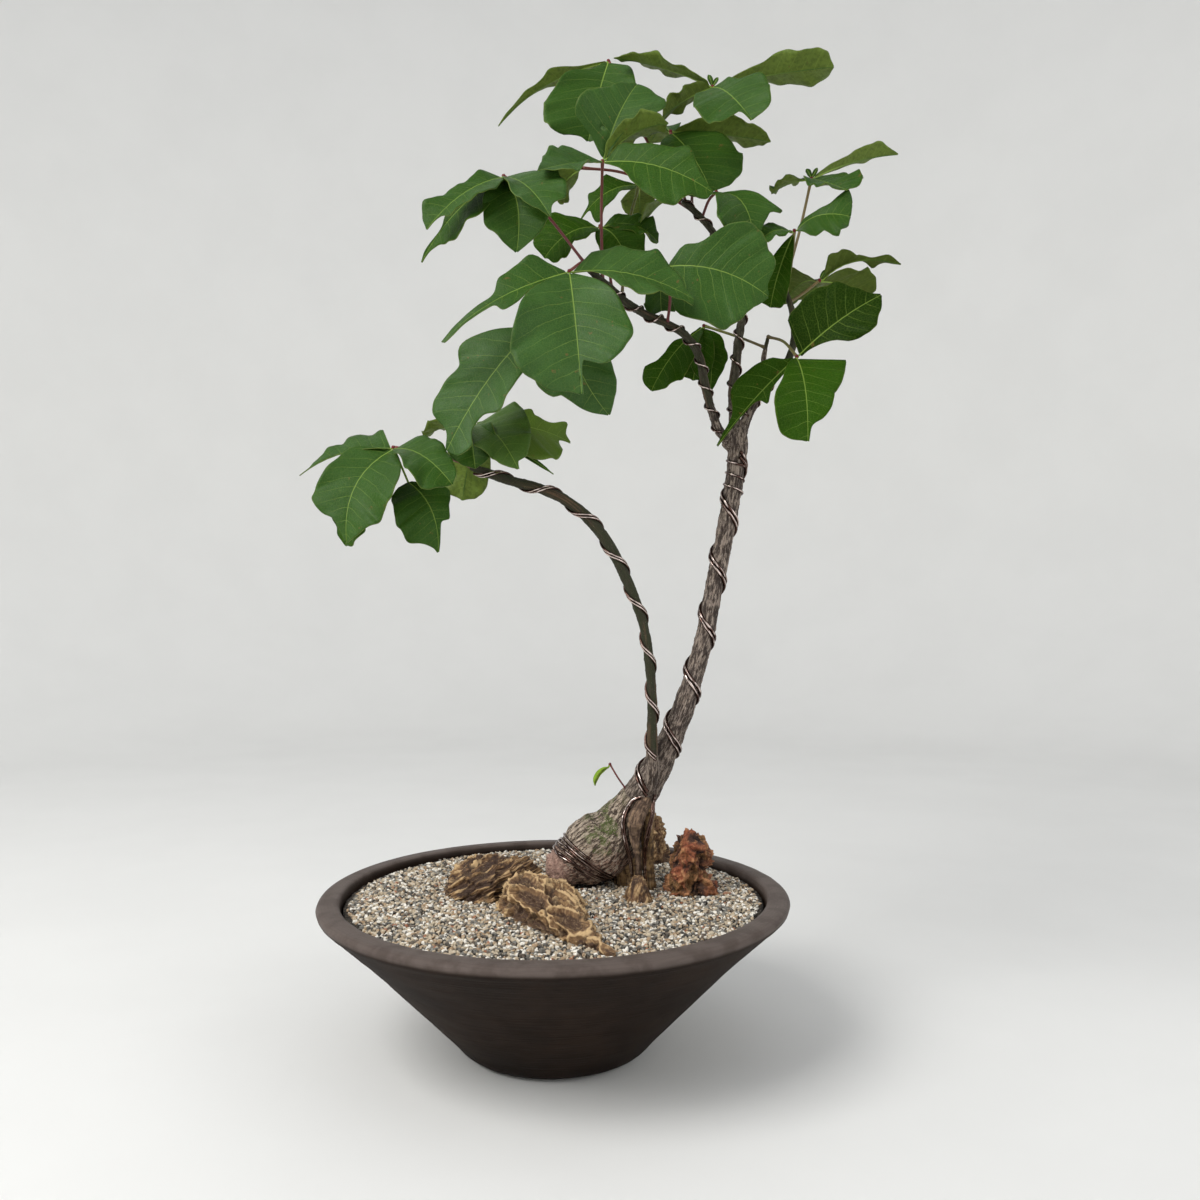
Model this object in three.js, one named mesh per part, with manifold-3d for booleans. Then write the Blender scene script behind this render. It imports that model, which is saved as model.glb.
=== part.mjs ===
// A shaving brush tree grown as a bonsai: a swollen stem base, a wired trunk and branches,
// palmate leaves, and a wide round pot of soil under gravel with five loose stones.
// Millimetres, +Z up. The origin is the middle of the pot's base, and -Y is the front.
import * as THREE from 'three';
import { mergeVertices } from 'three/addons/utils/BufferGeometryUtils.js';
import Module from 'manifold-3d';

const wasm = await Module();
wasm.setup();

// Pot
const POT_HEIGHT = 140;
const RIM_RADIUS = 210;
const RIM_WIDTH = 20;
const LIP_HEIGHT = 12;
const LIP_ROUND = 4;
const BASE_RADIUS = 74;
const FLOOR_THICKNESS = 11;
const WALL_ACROSS = 15;
const POT_SEGMENTS = 36;
const DRAIN_RADIUS = 6;
const DRAIN_DISTANCE = 40;
const DRAIN_HOLES = 3;
// The wall's outside from the base up to the lip, as radius and height.
const WALL_LINE = [[BASE_RADIUS, 0], [84, 5], [96, 18], [118, 41], [141, 65], [166, 91], [203, 128]];

// Filling
const CLEARANCE = 0.35;
const MESH_RADIUS = 58;
const MESH_THICKNESS = 1;
const SOIL_TOP = 117;
const GRAVEL_EDGE = 133;
const GRAVEL_MOUND = 4;
const GRAVEL_RELIEF = 0.8;
const GRAVEL_RINGS = 8;
const STONE_FLOOR = 129;
const ROOT_FLOOR = 70;
const SIDE_ROOT_FLOOR = 100;

// Leaves
const BLADE_THICKNESS = 0.7;
const BLADE_ROWS = [0, 0.12, 0.32, 0.55, 0.78, 1];
const HUB_RADIUS = 3;
const STALK_RADIUS = 1.3;
const STALK_SIDES = 5;
const STALK_STEPS = 3;

// Wires
const TRUNK_WIRE = 1.7;
const BRANCH_WIRE = 1.15;
const WIRE_SIDES = 4;

const FRONT = new THREE.Vector3(0, -1, 0);

// Finishes
const CLAY = { color: 0x3a312a, roughness: 0.75, metalness: 0 };
const SOIL = { color: 0x2e231a, roughness: 1, metalness: 0 };
const NET = { color: 0x151515, roughness: 0.6, metalness: 0 };
const GRAVEL = { color: 0xa79d8c, roughness: 0.9, metalness: 0 };
const BARK = { color: 0x74695d, roughness: 0.9, metalness: 0 };
const WIRE = { color: 0x3b2a26, roughness: 0.35, metalness: 0.9 };
const GREEN = { color: 0x456b38, roughness: 0.5, metalness: 0 };
const RED_STALK = { color: 0x80464a, roughness: 0.5, metalness: 0 };
const GREEN_STALK = { color: 0x75803c, roughness: 0.5, metalness: 0 };
const FRESH_GREEN = { color: 0x7f9c22, roughness: 0.5, metalness: 0 };
const OCHRE = { color: 0x8c6842, roughness: 0.9, metalness: 0 };
const RUST = { color: 0x83492f, roughness: 0.95, metalness: 0 };

const bonsai = new THREE.Group();

// Turns a closed geometry into a solid that can be joined and cut.
function solid(geometry) {
  geometry.deleteAttribute('normal');
  geometry.deleteAttribute('uv');
  const merged = mergeVertices(geometry, 1e-4);
  return new wasm.Manifold(new wasm.Mesh({
    numProp: 3,
    vertProperties: new Float32Array(merged.attributes.position.array),
    triVerts: new Uint32Array(merged.index.array),
  }));
}

function union(solids) {
  return solids.reduce((whole, next) => whole.add(next));
}

// Names a solid, gives it its finish and stands it in the group at a place.
function add(name, shape, finish, place = [0, 0, 0]) {
  const data = shape.getMesh();
  const geometry = new THREE.BufferGeometry();
  geometry.setAttribute('position', new THREE.BufferAttribute(data.vertProperties, 3));
  geometry.setIndex(new THREE.BufferAttribute(data.triVerts, 1));
  geometry.computeVertexNormals();
  const mesh = new THREE.Mesh(geometry, new THREE.MeshStandardMaterial(finish));
  mesh.name = name;
  mesh.position.set(...place);
  bonsai.add(mesh);
}

function geometryFrom(points, triangles) {
  const geometry = new THREE.BufferGeometry();
  geometry.setAttribute('position', new THREE.Float32BufferAttribute(points.flatMap((p) => p.toArray()), 3));
  geometry.setIndex(triangles);
  return geometry;
}

// Closes a row of rings, each running anticlockwise as seen from the last ring, into a solid.
function skin(rings) {
  const sides = rings[0].length;
  const points = rings.flat();
  const triangles = [];
  for (let i = 0; i + 1 < rings.length; i += 1) {
    for (let j = 0; j < sides; j += 1) {
      const a = i * sides + j;
      const b = i * sides + ((j + 1) % sides);
      triangles.push(a, b, b + sides, a, b + sides, a + sides);
    }
  }
  const middle = (ring) => ring.reduce((sum, p) => sum.add(p), new THREE.Vector3()).divideScalar(sides);
  const first = points.length;
  const last = first + 1;
  const top = (rings.length - 1) * sides;
  points.push(middle(rings[0]), middle(rings[rings.length - 1]));
  for (let j = 0; j < sides; j += 1) {
    const next = (j + 1) % sides;
    triangles.push(first, next, j, last, top + j, top + next);
  }
  return solid(geometryFrom(points, triangles));
}

// A root, trunk or branch: a smooth line through stations of x, y, z and radius.
class Limb {
  constructor(stations, sides, steps) {
    this.curve = new THREE.CatmullRomCurve3(stations.map(([x, y, z]) => new THREE.Vector3(x, y, z)));
    this.curve.arcLengthDivisions = 400;
    this.radii = stations.map((station) => station[3]);
    this.sides = sides;
    this.steps = steps;
    this.length = this.curve.getLength();
  }

  radius(t) {
    const place = t * (this.radii.length - 1);
    const i = Math.min(Math.floor(place), this.radii.length - 2);
    return THREE.MathUtils.lerp(this.radii[i], this.radii[i + 1], place - i);
  }

  // A point round the limb, at an angle that runs from the front over the right.
  around(t, angle, radius) {
    const along = this.curve.getTangent(t);
    const front = FRONT.clone().addScaledVector(along, -FRONT.dot(along)).normalize();
    const side = new THREE.Vector3().crossVectors(along, front);
    return this.curve.getPoint(t)
      .addScaledVector(front, radius * Math.cos(angle))
      .addScaledVector(side, radius * Math.sin(angle));
  }

  ring(t, grow) {
    const radius = this.radius(t) + grow;
    return Array.from({ length: this.sides }, (_, j) => this.around(t, (2 * Math.PI * j) / this.sides, radius));
  }

  body(grow = 0) {
    return skin(Array.from({ length: this.steps + 1 }, (_, i) => this.ring(i / this.steps, grow)));
  }

  tAt(distance) {
    return this.curve.getUtoTmapping(THREE.MathUtils.clamp(distance / this.length, 0, 1));
  }
}

// Stations of the wood, each x, y, z and radius.
const LIMBS = {
  caudex: new Limb([
    [-8, 30, 148, 11], [-3, 30, 150, 16], [13, 30, 155, 24], [33, 30, 167, 31.5],
    [50, 30, 179, 30.5], [66, 28, 203, 20], [78, 25, 221, 15]], 14, 12),
  taproot: new Limb([
    [60, 31, 188, 18], [66, 32, 150, 14], [67, 33, 115, 11], [67, 33, 90, 8], [67, 33, ROOT_FLOOR, 6]], 9, 5),
  frontRoot: new Limb([
    [84, 18, 220, 5], [77, 5, 209, 8.5], [74, 1, 195, 7.5], [74, 2, 179, 4.6], [75, 5, 163, 4.2],
    [76, 8, 146, 4.5], [77, 9, 125, 4], [79, 10, SIDE_ROOT_FLOOR, 2.5]], 8, 12),
  backRoot: new Limb([
    [87, 20, 206, 6], [84, 17, 190, 5], [83, 16, 172, 4.6], [83, 15, 154, 4.6], [83, 14, 137, 5],
    [83, 13, 112, 3.5]], 8, 8),
  trunk: new Limb([
    [66, 28, 203, 18], [78, 25, 221, 15.5], [89, 22, 240, 14.5], [98, 20, 257, 12.5], [106, 18, 274, 11.2],
    [115, 16, 296, 10.2], [123, 14, 319, 9.3], [131, 12, 347, 8.6], [137, 10, 370, 8.2], [142, 8, 397, 8],
    [150, 6, 439, 8.2], [158, 5, 480, 8], [164, 5, 516, 7.9], [166, 5, 537, 8.6], [166, 5, 548, 10],
    [167, 5, 559, 7]], 10, 24),
  knob: new Limb([[164, 6, 543, 6], [160, 6, 545, 7.5], [156, 6, 546, 6], [153, 6, 547, 3]], 8, 4),
  leftBranch: new Limb([
    [93, 18, 240, 5.5], [91, 7, 250, 6], [88, 0, 268, 5.2], [88, -3, 293, 4.8], [88, -4, 312, 4.6],
    [85, -6, 348, 4.5], [81, -8, 375, 4.5], [74, -10, 398, 4.6], [63, -12, 424, 5], [47, -14, 454, 5.2],
    [30, -16, 475, 5.2], [10, -18, 491, 5], [-13, -20, 501, 4.8], [-39, -22, 508, 4.6], [-58, -24, 514, 4.4],
    [-74, -25, 520, 3.2]], 6, 22),
  upperLeftBranch: new Limb([
    [163, 8, 545, 5], [151, 8, 555, 4.4], [143, 6, 575, 4.2], [137, 4, 595, 4.2], [133, 0, 615, 4],
    [128, -3, 628, 4], [118, -8, 640, 3.9], [103, -14, 648, 3.8], [85, -20, 654, 3.8], [69, -27, 661, 3.6],
    [51, -34, 674, 3.5], [37, -38, 685, 3.4], [29, -40, 693, 3]], 6, 18),
  middleBranch: new Limb([
    [165, 6, 550, 5.5], [164, 11, 570, 5], [163, 14, 593, 4.6], [166, 15, 618, 4.4], [169, 16, 645, 4.2],
    [172, 17, 669, 4], [168, 18, 697, 3.8], [157, 19, 725, 3.6], [144, 19, 744, 3.4], [130, 19, 760, 3.2],
    [117, 22, 772, 2.8]], 6, 16),
  rightShoot: new Limb([
    [168, 5, 550, 6], [174, 4, 566, 4.8], [180, 4, 579, 4.4], [189, 5, 592, 4.2], [202, 8, 607, 4],
    [213, 10, 622, 3.8], [219, 12, 641, 3.4], [218, 10, 660, 3.2], [214, 8, 675, 3], [209, 8, 687, 2.6]], 6, 12),
  twig: new Limb([[189, 6, 592, 3], [189, 6, 610, 2.6], [191, 5, 628, 2.3], [194, 5, 642, 2]], 6, 6),
};

function makeWood(grow = 0) {
  return union(Object.values(LIMBS).map((limb) => limb.body(grow)));
}

// A round bar of few sides through a line of centres, each with the way out from its limb.
function bar(centres, outward, radius) {
  const rings = centres.map((centre, i) => {
    const before = centres[Math.max(i - 1, 0)];
    const after = centres[Math.min(i + 1, centres.length - 1)];
    const along = after.clone().sub(before).normalize();
    const out = outward[i].clone().addScaledVector(along, -outward[i].dot(along)).normalize();
    const side = new THREE.Vector3().crossVectors(along, out);
    return Array.from({ length: WIRE_SIDES }, (_, j) => {
      const angle = (2 * Math.PI * (j + 0.5)) / WIRE_SIDES;
      return centre.clone()
        .addScaledVector(out, radius * Math.cos(angle))
        .addScaledVector(side, radius * Math.sin(angle));
    });
  });
  return skin(rings);
}

// A wire wound up a limb between two distances along it, leftwards as it climbs the front.
function coil(limb, from, to, pitch, firstAngle, radius, steps = 9) {
  const count = Math.round(((to - from) / pitch) * steps);
  const slack = 1 / Math.cos(Math.PI / steps);
  const centres = [];
  const outward = [];
  for (let i = 0; i <= count; i += 1) {
    const t = limb.tAt(from + ((to - from) * i) / count);
    const angle = firstAngle - (2 * Math.PI * i) / steps;
    const reach = (limb.radius(t) + radius + CLEARANCE) * slack;
    centres.push(limb.around(t, angle, reach));
    outward.push(limb.around(t, angle, 1).sub(limb.around(t, angle, 0)));
  }
  return bar(centres, outward, radius);
}

// A wire that runs freely through points, as the ends that go down to the soil do.
function strand(points, steps, radius) {
  const centres = new THREE.CatmullRomCurve3(points.map((p) => new THREE.Vector3(...p))).getPoints(steps);
  return bar(centres, centres.map(() => FRONT), radius);
}

// A leaf blade's half width along its midrib, as a share of the widest.
function outline(t, widest) {
  return Math.sin(Math.PI * t ** (Math.log(0.5) / Math.log(widest))) ** 0.75;
}

// One thin arched blade from the hub to its tip, facing a given way.
function blade(hub, spec) {
  const { tip, width, face, arch = 10, fold = 0.25, wave = 2, widest = 0.55, twist = 0, bites = [] } = spec;
  const reach = new THREE.Vector3(...tip).sub(new THREE.Vector3(...hub));
  const length = reach.length();
  const along = reach.clone().normalize();
  const flat = new THREE.Vector3(...face).addScaledVector(along, -along.dot(new THREE.Vector3(...face))).normalize();
  const rows = BLADE_ROWS.map((t, i) => {
    const up = flat.clone().applyAxisAngle(along, twist * t);
    const side = new THREE.Vector3().crossVectors(along, up);
    const midrib = along.clone().multiplyScalar(THREE.MathUtils.lerp(HUB_RADIUS / 2, length, t))
      .addScaledVector(flat, arch * 4 * t * (1 - t));
    return [-1, 0, 1].map((hand) => {
      const bitten = bites.reduce((share, [edge, at, span, depth]) => (
        edge === hand && Math.abs(t - at) < span ? share * (1 - depth) : share), 1);
      const half = Math.max((width / 2) * outline(t, widest) * bitten, 0.5);
      const ripple = wave * Math.sin(2.4 * i + hand) * outline(t, widest);
      return midrib.clone()
        .addScaledVector(side, hand * half * Math.cos(fold))
        .addScaledVector(up, Math.abs(hand) * (half * Math.sin(fold) + ripple));
    });
  });
  return sheet(rows, BLADE_THICKNESS);
}

// Thickens a grid of points into a closed sheet, split into triangles alike on both faces.
function sheet(rows, thickness) {
  const across = rows[0].length;
  const normal = (i, j) => {
    const down = rows[Math.min(i + 1, rows.length - 1)][j].clone().sub(rows[Math.max(i - 1, 0)][j]);
    const over = rows[i][Math.min(j + 1, across - 1)].clone().sub(rows[i][Math.max(j - 1, 0)]);
    return over.cross(down).normalize();
  };
  const face = (shift) => rows.flatMap((row, i) => row.map((p, j) => (
    p.clone().addScaledVector(normal(i, j), shift * thickness))));
  const points = [...face(0.5), ...face(-0.5)];
  const under = rows.length * across;
  const triangles = [];
  for (let i = 0; i + 1 < rows.length; i += 1) {
    for (let j = 0; j + 1 < across; j += 1) {
      const a = i * across + j;
      const b = a + across;
      triangles.push(a, a + 1, b + 1, a, b + 1, b);
      triangles.push(under + a, under + b + 1, under + a + 1, under + a, under + b, under + b + 1);
    }
  }
  const wall = (a, b) => triangles.push(a, under + a, under + b, a, under + b, b);
  const last = (rows.length - 1) * across;
  for (let j = 0; j + 1 < across; j += 1) {
    wall(j, j + 1);
    wall(last + j + 1, last + j);
  }
  for (let i = 0; i + 1 < rows.length; i += 1) {
    wall((i + 1) * across, i * across);
    wall((i + 1) * across - 1, (i + 2) * across - 1);
  }
  return solid(geometryFrom(points, triangles));
}

// Each leaf: the hub where its blades meet, the limb point and bend of its stalk, and its blades.
const LEAVES = {
  top_left: {
    hub: [43, -15, 794], from: [43, -36, 680], bend: [42, -27, 741], blades: [
      { tip: [-10, -85, 758], width: 62, face: [-0.2, -0.6, 0.75] },
      { tip: [81, -8, 865], width: 66, face: [0.1, -1, 0.1], arch: 6 },
      { tip: [138, -45, 755], width: 66, face: [0.05, -0.95, 0.35], arch: 8 },
      { tip: [101, -22, 825], width: 34, face: [0, 0.3, 0.95] }] },
  far_left_high: {
    hub: [-42, -50, 767], from: [30, -40, 692], bend: [-10, -50, 739], blades: [
      { tip: [0, -100, 715], width: 64, face: [0.5, -0.7, 0.6], arch: 16 },
      { tip: [-29, -75, 694], width: 68, face: [0, -0.95, 0.2] },
      { tip: [-101, -95, 706], width: 48, face: [-0.3, -0.5, 0.8] },
      { tip: [-111, -60, 690], width: 46, face: [-0.5, -0.7, 0.5] }] },
  crown_left: {
    hub: [49, 60, 921], from: [116, 22, 773], bend: [84, 64, 850], blades: [
      { tip: [18, 22, 828], width: 102, face: [0, -0.9, 0.45] },
      { tip: [-55, 40, 850], width: 42, face: [-0.1, 0.25, 0.95], arch: 12 }] },
  crown_right: {
    hub: [146, 30, 882], from: [125.5, 20, 764], bend: [133, 64, 836], blades: [
      { tip: [54, 28, 908], width: 32, face: [0.1, 0.1, 1], arch: 5 },
      { tip: [98, 10, 844], width: 28, face: [-0.6, 0.3, 0.7], arch: 4 },
      { tip: [165, -45, 822], width: 78, face: [0, -0.6, 0.8], arch: 14 },
      { tip: [255, 10, 891], width: 40, face: [0, 0.2, 1], arch: 3, widest: 0.75, twist: -0.4 }] },
  top_middle: {
    hub: [107, 32, 841], from: [121, 21, 768], bend: [112, 30, 806], blades: [
      { tip: [143, 16, 779], width: 76, face: [0.3, -0.95, 0.3], arch: 14 },
      { tip: [201, 35, 833], width: 46, face: [0.1, 0.35, 0.93], arch: 3 },
      { tip: [90, 82, 851], width: 40, face: [0, 0.3, 0.95] }] },
  middle: {
    hub: [147, 5, 774], from: [135, 19, 755], bend: [141, 10, 769], blades: [
      { tip: [177, -28, 712], width: 70, face: [0.3, -0.85, 0.5], arch: 18, widest: 0.5 },
      { tip: [77, -8, 742], width: 44, face: [-0.2, 0, 1] }] },
  front_right_high: {
    hub: [97, -40, 693], from: [101, -15, 649], bend: [102, -35, 668], blades: [
      { tip: [185, -52, 663], width: 92, face: [0.05, -0.98, 0.12], arch: 8, widest: 0.55 },
      { tip: [96, -8, 662], width: 36, face: [0.2, -0.9, 0.3], arch: -4 }] },
  front: {
    hub: [15, -70, 679], from: [34, -39, 688], bend: [27, -56, 691], blades: [
      { tip: [26, -112, 568], width: 100, face: [0.05, -0.93, 0.25], bites: [[1, 0.78, 0.1, 0.4]] },
      { tip: [118, -90, 650], width: 64, face: [0, -0.72, 0.69] },
      { tip: [-88, -98, 613], width: 58, face: [-0.2, -0.75, 0.6], widest: 0.38, twist: 0.5 },
      { tip: [48, -60, 560], width: 66, face: [0, -1, 0.1] }] },
  behind_front: {
    hub: [41, 8, 744], from: [51, -33, 675], bend: [47, -4, 716], blades: [
      { tip: [-9, -8, 710], width: 54, face: [-0.1, -0.75, 0.6] },
      { tip: [66, -5, 707], width: 46, face: [0.1, -0.9, 0.3] },
      { tip: [94, 10, 730], width: 34, face: [0.1, -0.7, 0.6] }] },
  back_small: {
    hub: [78, 45, 797], from: [60, -31, 667], bend: [66, 24, 744], stalk: GREEN_STALK, blades: [
      { tip: [23, 35, 760], width: 52, face: [-0.3, -0.5, 0.8] },
      { tip: [81, 95, 777], width: 38, face: [0, 0.56, 0.83] }] },
  far_left_low: {
    hub: [-138, -45, 534], from: [-73, -25, 520], bend: [-107, -40, 531], blades: [
      { tip: [-168, -90, 450], width: 78, face: [-0.2, -0.9, 0.4] },
      { tip: [-223, -30, 512], width: 48, face: [-0.2, -0.1, 1] },
      { tip: [-82, -85, 498], width: 58, face: [0.3, -0.75, 0.6] },
      { tip: [-97, -60, 443], width: 60, face: [0.3, -0.9, 0.3], bites: [[1, 0.78, 0.1, 0.4]] },
      { tip: [-195, -25, 448], width: 54, face: [-0.3, -0.8, 0.4] }] },
  left: {
    hub: [-73, -10, 560], from: [-68, -25, 518], bend: [-72, -16, 540], blades: [
      { tip: [-29, -60, 514], width: 62, face: [0.2, -0.85, 0.5], arch: 14 },
      { tip: [-66, -55, 515], width: 44, face: [-0.1, -0.8, 0.6] },
      { tip: [12, 20, 556], width: 58, face: [0.1, -0.85, 0.5] },
      { tip: [-121, 10, 552], width: 42, face: [0, 0.3, 0.95] },
      { tip: [-86, 15, 494], width: 44, face: [0, 0.7, 0.5] },
      { tip: [-1, -12, 515], width: 6, face: [0, -0.9, 0.3], arch: 4, wave: 0 }] },
  left_front: {
    hub: [-14, -60, 636], from: [39, -37, 684], bend: [12, -52, 661], blades: [
      { tip: [-87, -78, 527], width: 78, face: [-0.3, -0.9, 0.3], fold: 0.15, bites: [[-1, 0.32, 0.1, 0.4]] }] },
  centre: {
    hub: [139, 40, 661], from: [192, 5, 632], bend: [170, 30, 648], stalk: GREEN_STALK, blades: [
      { tip: [89, 30, 598], width: 58, face: [-0.2, -0.6, 0.75], bites: [[1, 0.78, 0.1, 0.3]] },
      { tip: [129, 42, 610], width: 34, face: [0, -0.8, 0.5] },
      { tip: [145, 44, 599], width: 46, face: [0.2, -0.9, 0.3] }] },
  right_low: {
    hub: [214, -30, 616], from: [194, 5, 642], bend: [205, -14, 633], stalk: GREEN_STALK, blades: [
      { tip: [145, -22, 539], width: 58, face: [-0.1, -0.95, 0.3], widest: 0.45 },
      { tip: [213, -85, 534], width: 76, face: [0.1, -0.9, 0.4] },
      { tip: [281, -55, 663], width: 70, face: [0.2, -0.75, 0.6], widest: 0.5 }] },
  right: {
    hub: [242, 10, 695], from: [214, 8, 674], bend: [228, 11, 684], blades: [
      { tip: [319, 20, 713], width: 28, face: [0, 0.1, 1], arch: 14 },
      { tip: [218, 62, 688], width: 48, face: [0, 0.4, 0.9] },
      { tip: [295, 52, 690], width: 48, face: [0, 0.4, 0.9], arch: 5 }] },
  right_high: {
    hub: [235, 12, 789], from: [209, 8, 687], bend: [226, 18, 746], blades: [
      { tip: [258, -50, 760], width: 62, face: [0, -0.6, 0.8] },
      { tip: [215, 66, 794], width: 40, face: [0, 0.2, 1] },
      { tip: [319, 30, 819], width: 44, face: [0, 0.2, 1] }] },
  right_middle: {
    hub: [215, -12, 733], from: [211, 8, 681], bend: [214, -4, 708], stalk: GREEN_STALK, blades: [
      { tip: [258, -42, 735], width: 56, face: [0, -0.92, 0.38], widest: 0.66 },
      { tip: [171, -4, 700], width: 42, face: [-0.1, -0.8, 0.5] },
      { tip: [198, 16, 681], width: 42, face: [-0.2, -0.9, 0.2] }] },
  back_single: {
    hub: [23, 32, 807], from: [130, 19, 760], bend: [66, 44, 806], blades: [
      { tip: [-1, 36, 781], width: 36, face: [-0.2, 0.5, 0.8], arch: 5 }] },
  sprout: {
    hub: [50, 20, 250], from: [68, 24, 222], bend: [57, 21, 238], knuckle: 1.4, thin: 0.8, leaf: FRESH_GREEN,
    blades: [{ tip: [37, 17, 235], width: 13, face: [-0.7, -0.5, 0.5], arch: 3, fold: 0.5, wave: 0 }] },
};

// The largest body of a shape, without the crumbs and sealed hollows that a cut leaves.
function largest(shape) {
  return shape.decompose().reduce((best, body) => (body.volume() > best.volume() ? body : best));
}

function hubBall({ knuckle = HUB_RADIUS }, grow = 0) {
  return solid(new THREE.IcosahedronGeometry(knuckle + grow, 0));
}

// A leaf's blades joined at its hub, with the hub as the solid's own origin.
function makeBlades(leaf) {
  return largest(union([hubBall(leaf), ...leaf.blades.map((spec) => blade(leaf.hub, spec))]));
}

// A leaf's stalk, seated on the wood and under the hub with a hair's clearance.
function makeStalk(leaf, blades, grownWood) {
  const { hub, from, bend, thin = STALK_RADIUS } = leaf;
  const line = new Limb([from, bend, hub].map((p) => [...p, thin]), STALK_SIDES, STALK_STEPS);
  const down = new THREE.Vector3(...bend).sub(new THREE.Vector3(...hub)).setLength(CLEARANCE);
  const placed = blades.translate(hub);
  const room = union([placed, placed.translate(down.toArray()), hubBall(leaf, CLEARANCE).translate(hub)]);
  return largest(line.body().subtract(grownWood).subtract(room));
}

// A plain upright hole, oval in plan.
function hole({ x, y, across, deep, floor }, ceiling) {
  const height = ceiling - floor;
  const drum = new THREE.CylinderGeometry(1, 1, height, 24);
  drum.rotateX(Math.PI / 2);
  drum.scale(across, deep, 1);
  drum.translate(x, y, floor + height / 2);
  return solid(drum);
}

function lathe(profile, segments) {
  const shape = new THREE.LatheGeometry(profile.map(([r, z]) => new THREE.Vector2(r, z)), segments);
  shape.rotateX(Math.PI / 2);
  return solid(shape);
}

function wallRadius(z) {
  const i = WALL_LINE.findIndex(([, height]) => height >= z);
  const [r0, z0] = WALL_LINE[Math.max(i - 1, 0)];
  const [r1, z1] = WALL_LINE[i < 0 ? WALL_LINE.length - 1 : i];
  return z1 > z0 ? THREE.MathUtils.lerp(r0, r1, (z - z0) / (z1 - z0)) : r1;
}

function innerRadius(z) {
  return wallRadius(Math.min(z, POT_HEIGHT - LIP_HEIGHT)) - WALL_ACROSS;
}

const drains = Array.from({ length: DRAIN_HOLES }, (_, i) => {
  const angle = Math.PI / 2 + (2 * Math.PI * i) / DRAIN_HOLES;
  return { x: DRAIN_DISTANCE * Math.cos(angle), y: DRAIN_DISTANCE * Math.sin(angle) };
});

function makePot() {
  const inside = RIM_RADIUS - RIM_WIDTH;
  const lipFoot = POT_HEIGHT - LIP_HEIGHT;
  const profile = [
    [0, 0], ...WALL_LINE,
    [RIM_RADIUS - 1, lipFoot + 1.5], [RIM_RADIUS, lipFoot + LIP_ROUND],
    [RIM_RADIUS - 0.5, POT_HEIGHT - LIP_ROUND / 2], [RIM_RADIUS - LIP_ROUND, POT_HEIGHT],
    [inside + 1.5, POT_HEIGHT], [inside, POT_HEIGHT - 1.5], [innerRadius(lipFoot), lipFoot],
    [innerRadius(FLOOR_THICKNESS + 8), FLOOR_THICKNESS + 8],
    [innerRadius(FLOOR_THICKNESS) - 6, FLOOR_THICKNESS], [0, FLOOR_THICKNESS]];
  const holes = drains.map(({ x, y }) => (
    hole({ x, y, across: DRAIN_RADIUS, deep: DRAIN_RADIUS, floor: -1 }, FLOOR_THICKNESS + 1)));
  return holes.reduce((body, drain) => body.subtract(drain), lathe(profile, POT_SEGMENTS));
}

// The plain holes that the stem base and the side roots stand in.
const ROOT_HOLES = {
  taproot: { x: 67, y: 33, across: 16, deep: 16, floor: ROOT_FLOOR - CLEARANCE },
  sideRoots: { x: 80, y: 11, across: 11, deep: 11, floor: SIDE_ROOT_FLOOR - 1 },
  caudex: { x: 16, y: 32, across: 36, deep: 26, floor: SOIL_TOP - 1 },
};

function makeSoil() {
  const floor = FLOOR_THICKNESS + MESH_THICKNESS + 2 * CLEARANCE;
  const gap = 2 * CLEARANCE;
  const body = lathe([
    [0, floor], [innerRadius(floor) - 6 - gap, floor], [innerRadius(floor + 8) - gap, floor + 8],
    [innerRadius(SOIL_TOP) - gap, SOIL_TOP], [0, SOIL_TOP]], POT_SEGMENTS);
  return body
    .subtract(hole(ROOT_HOLES.taproot, SOIL_TOP + 1))
    .subtract(hole(ROOT_HOLES.sideRoots, SOIL_TOP + 1));
}

function gravelHeight(x, y) {
  const out = Math.hypot(x, y) / (RIM_RADIUS - RIM_WIDTH);
  const grain = Math.sin(x / 4.1 + Math.sin(y / 9)) * Math.cos(y / 3.7 + Math.sin(x / 7));
  return GRAVEL_EDGE + GRAVEL_MOUND * (1 - out * out) + GRAVEL_RELIEF * grain;
}

// Five stones that lie in the gravel: each outline in plan runs anticlockwise round its middle.
const STONES = {
  slab_back: {
    middle: [-52, -2], height: 33, lean: [0.04, 0.14], boxy: 4.5, rough: 0.14, finish: OCHRE, outline: [
      [-8, 10], [-14, 26], [-34, 34], [-62, 36], [-88, 31], [-104, 16], [-100, -4], [-86, -22], [-70, -33],
      [-52, -35], [-48, -25], [-26, -18]] },
  slab_front: {
    middle: [0, -70], height: 20, lean: [-0.1, 0.16], boxy: 5, rough: 0.12, finish: OCHRE, outline: [
      [30, -44], [22, -24], [2, -14], [-20, -16], [-42, -29], [-44, -51], [-26, -85], [-8, -110], [10, -131],
      [33, -144], [45, -167], [52, -160], [41, -117], [34, -76]] },
  lava_rock: {
    middle: [123, 12], height: 50, lean: [0.2, 0], boxy: 4.5, rough: 0.2, finish: RUST, outline: [
      [145, 14], [138, 30], [122, 36], [108, 28], [102, 10], [106, -2], [116, -8], [130, -10], [141, -6]] },
  pebble_front: {
    middle: [75, -20], height: 27, lean: [0, 0], boxy: 2.6, rough: 0.1, finish: OCHRE, outline: [
      [86, -20], [82, -10], [74, -7], [66, -10], [63, -20], [66, -29], [75, -33], [83, -29]] },
  rock_back: {
    middle: [92, 128], height: 50, lean: [0, 0.2], boxy: 3.4, rough: 0.12, finish: OCHRE, outline: [
      [113, 128], [106, 140], [92, 145], [78, 140], [73, 128], [77, 117], [92, 112], [107, 117]] },
};
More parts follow.
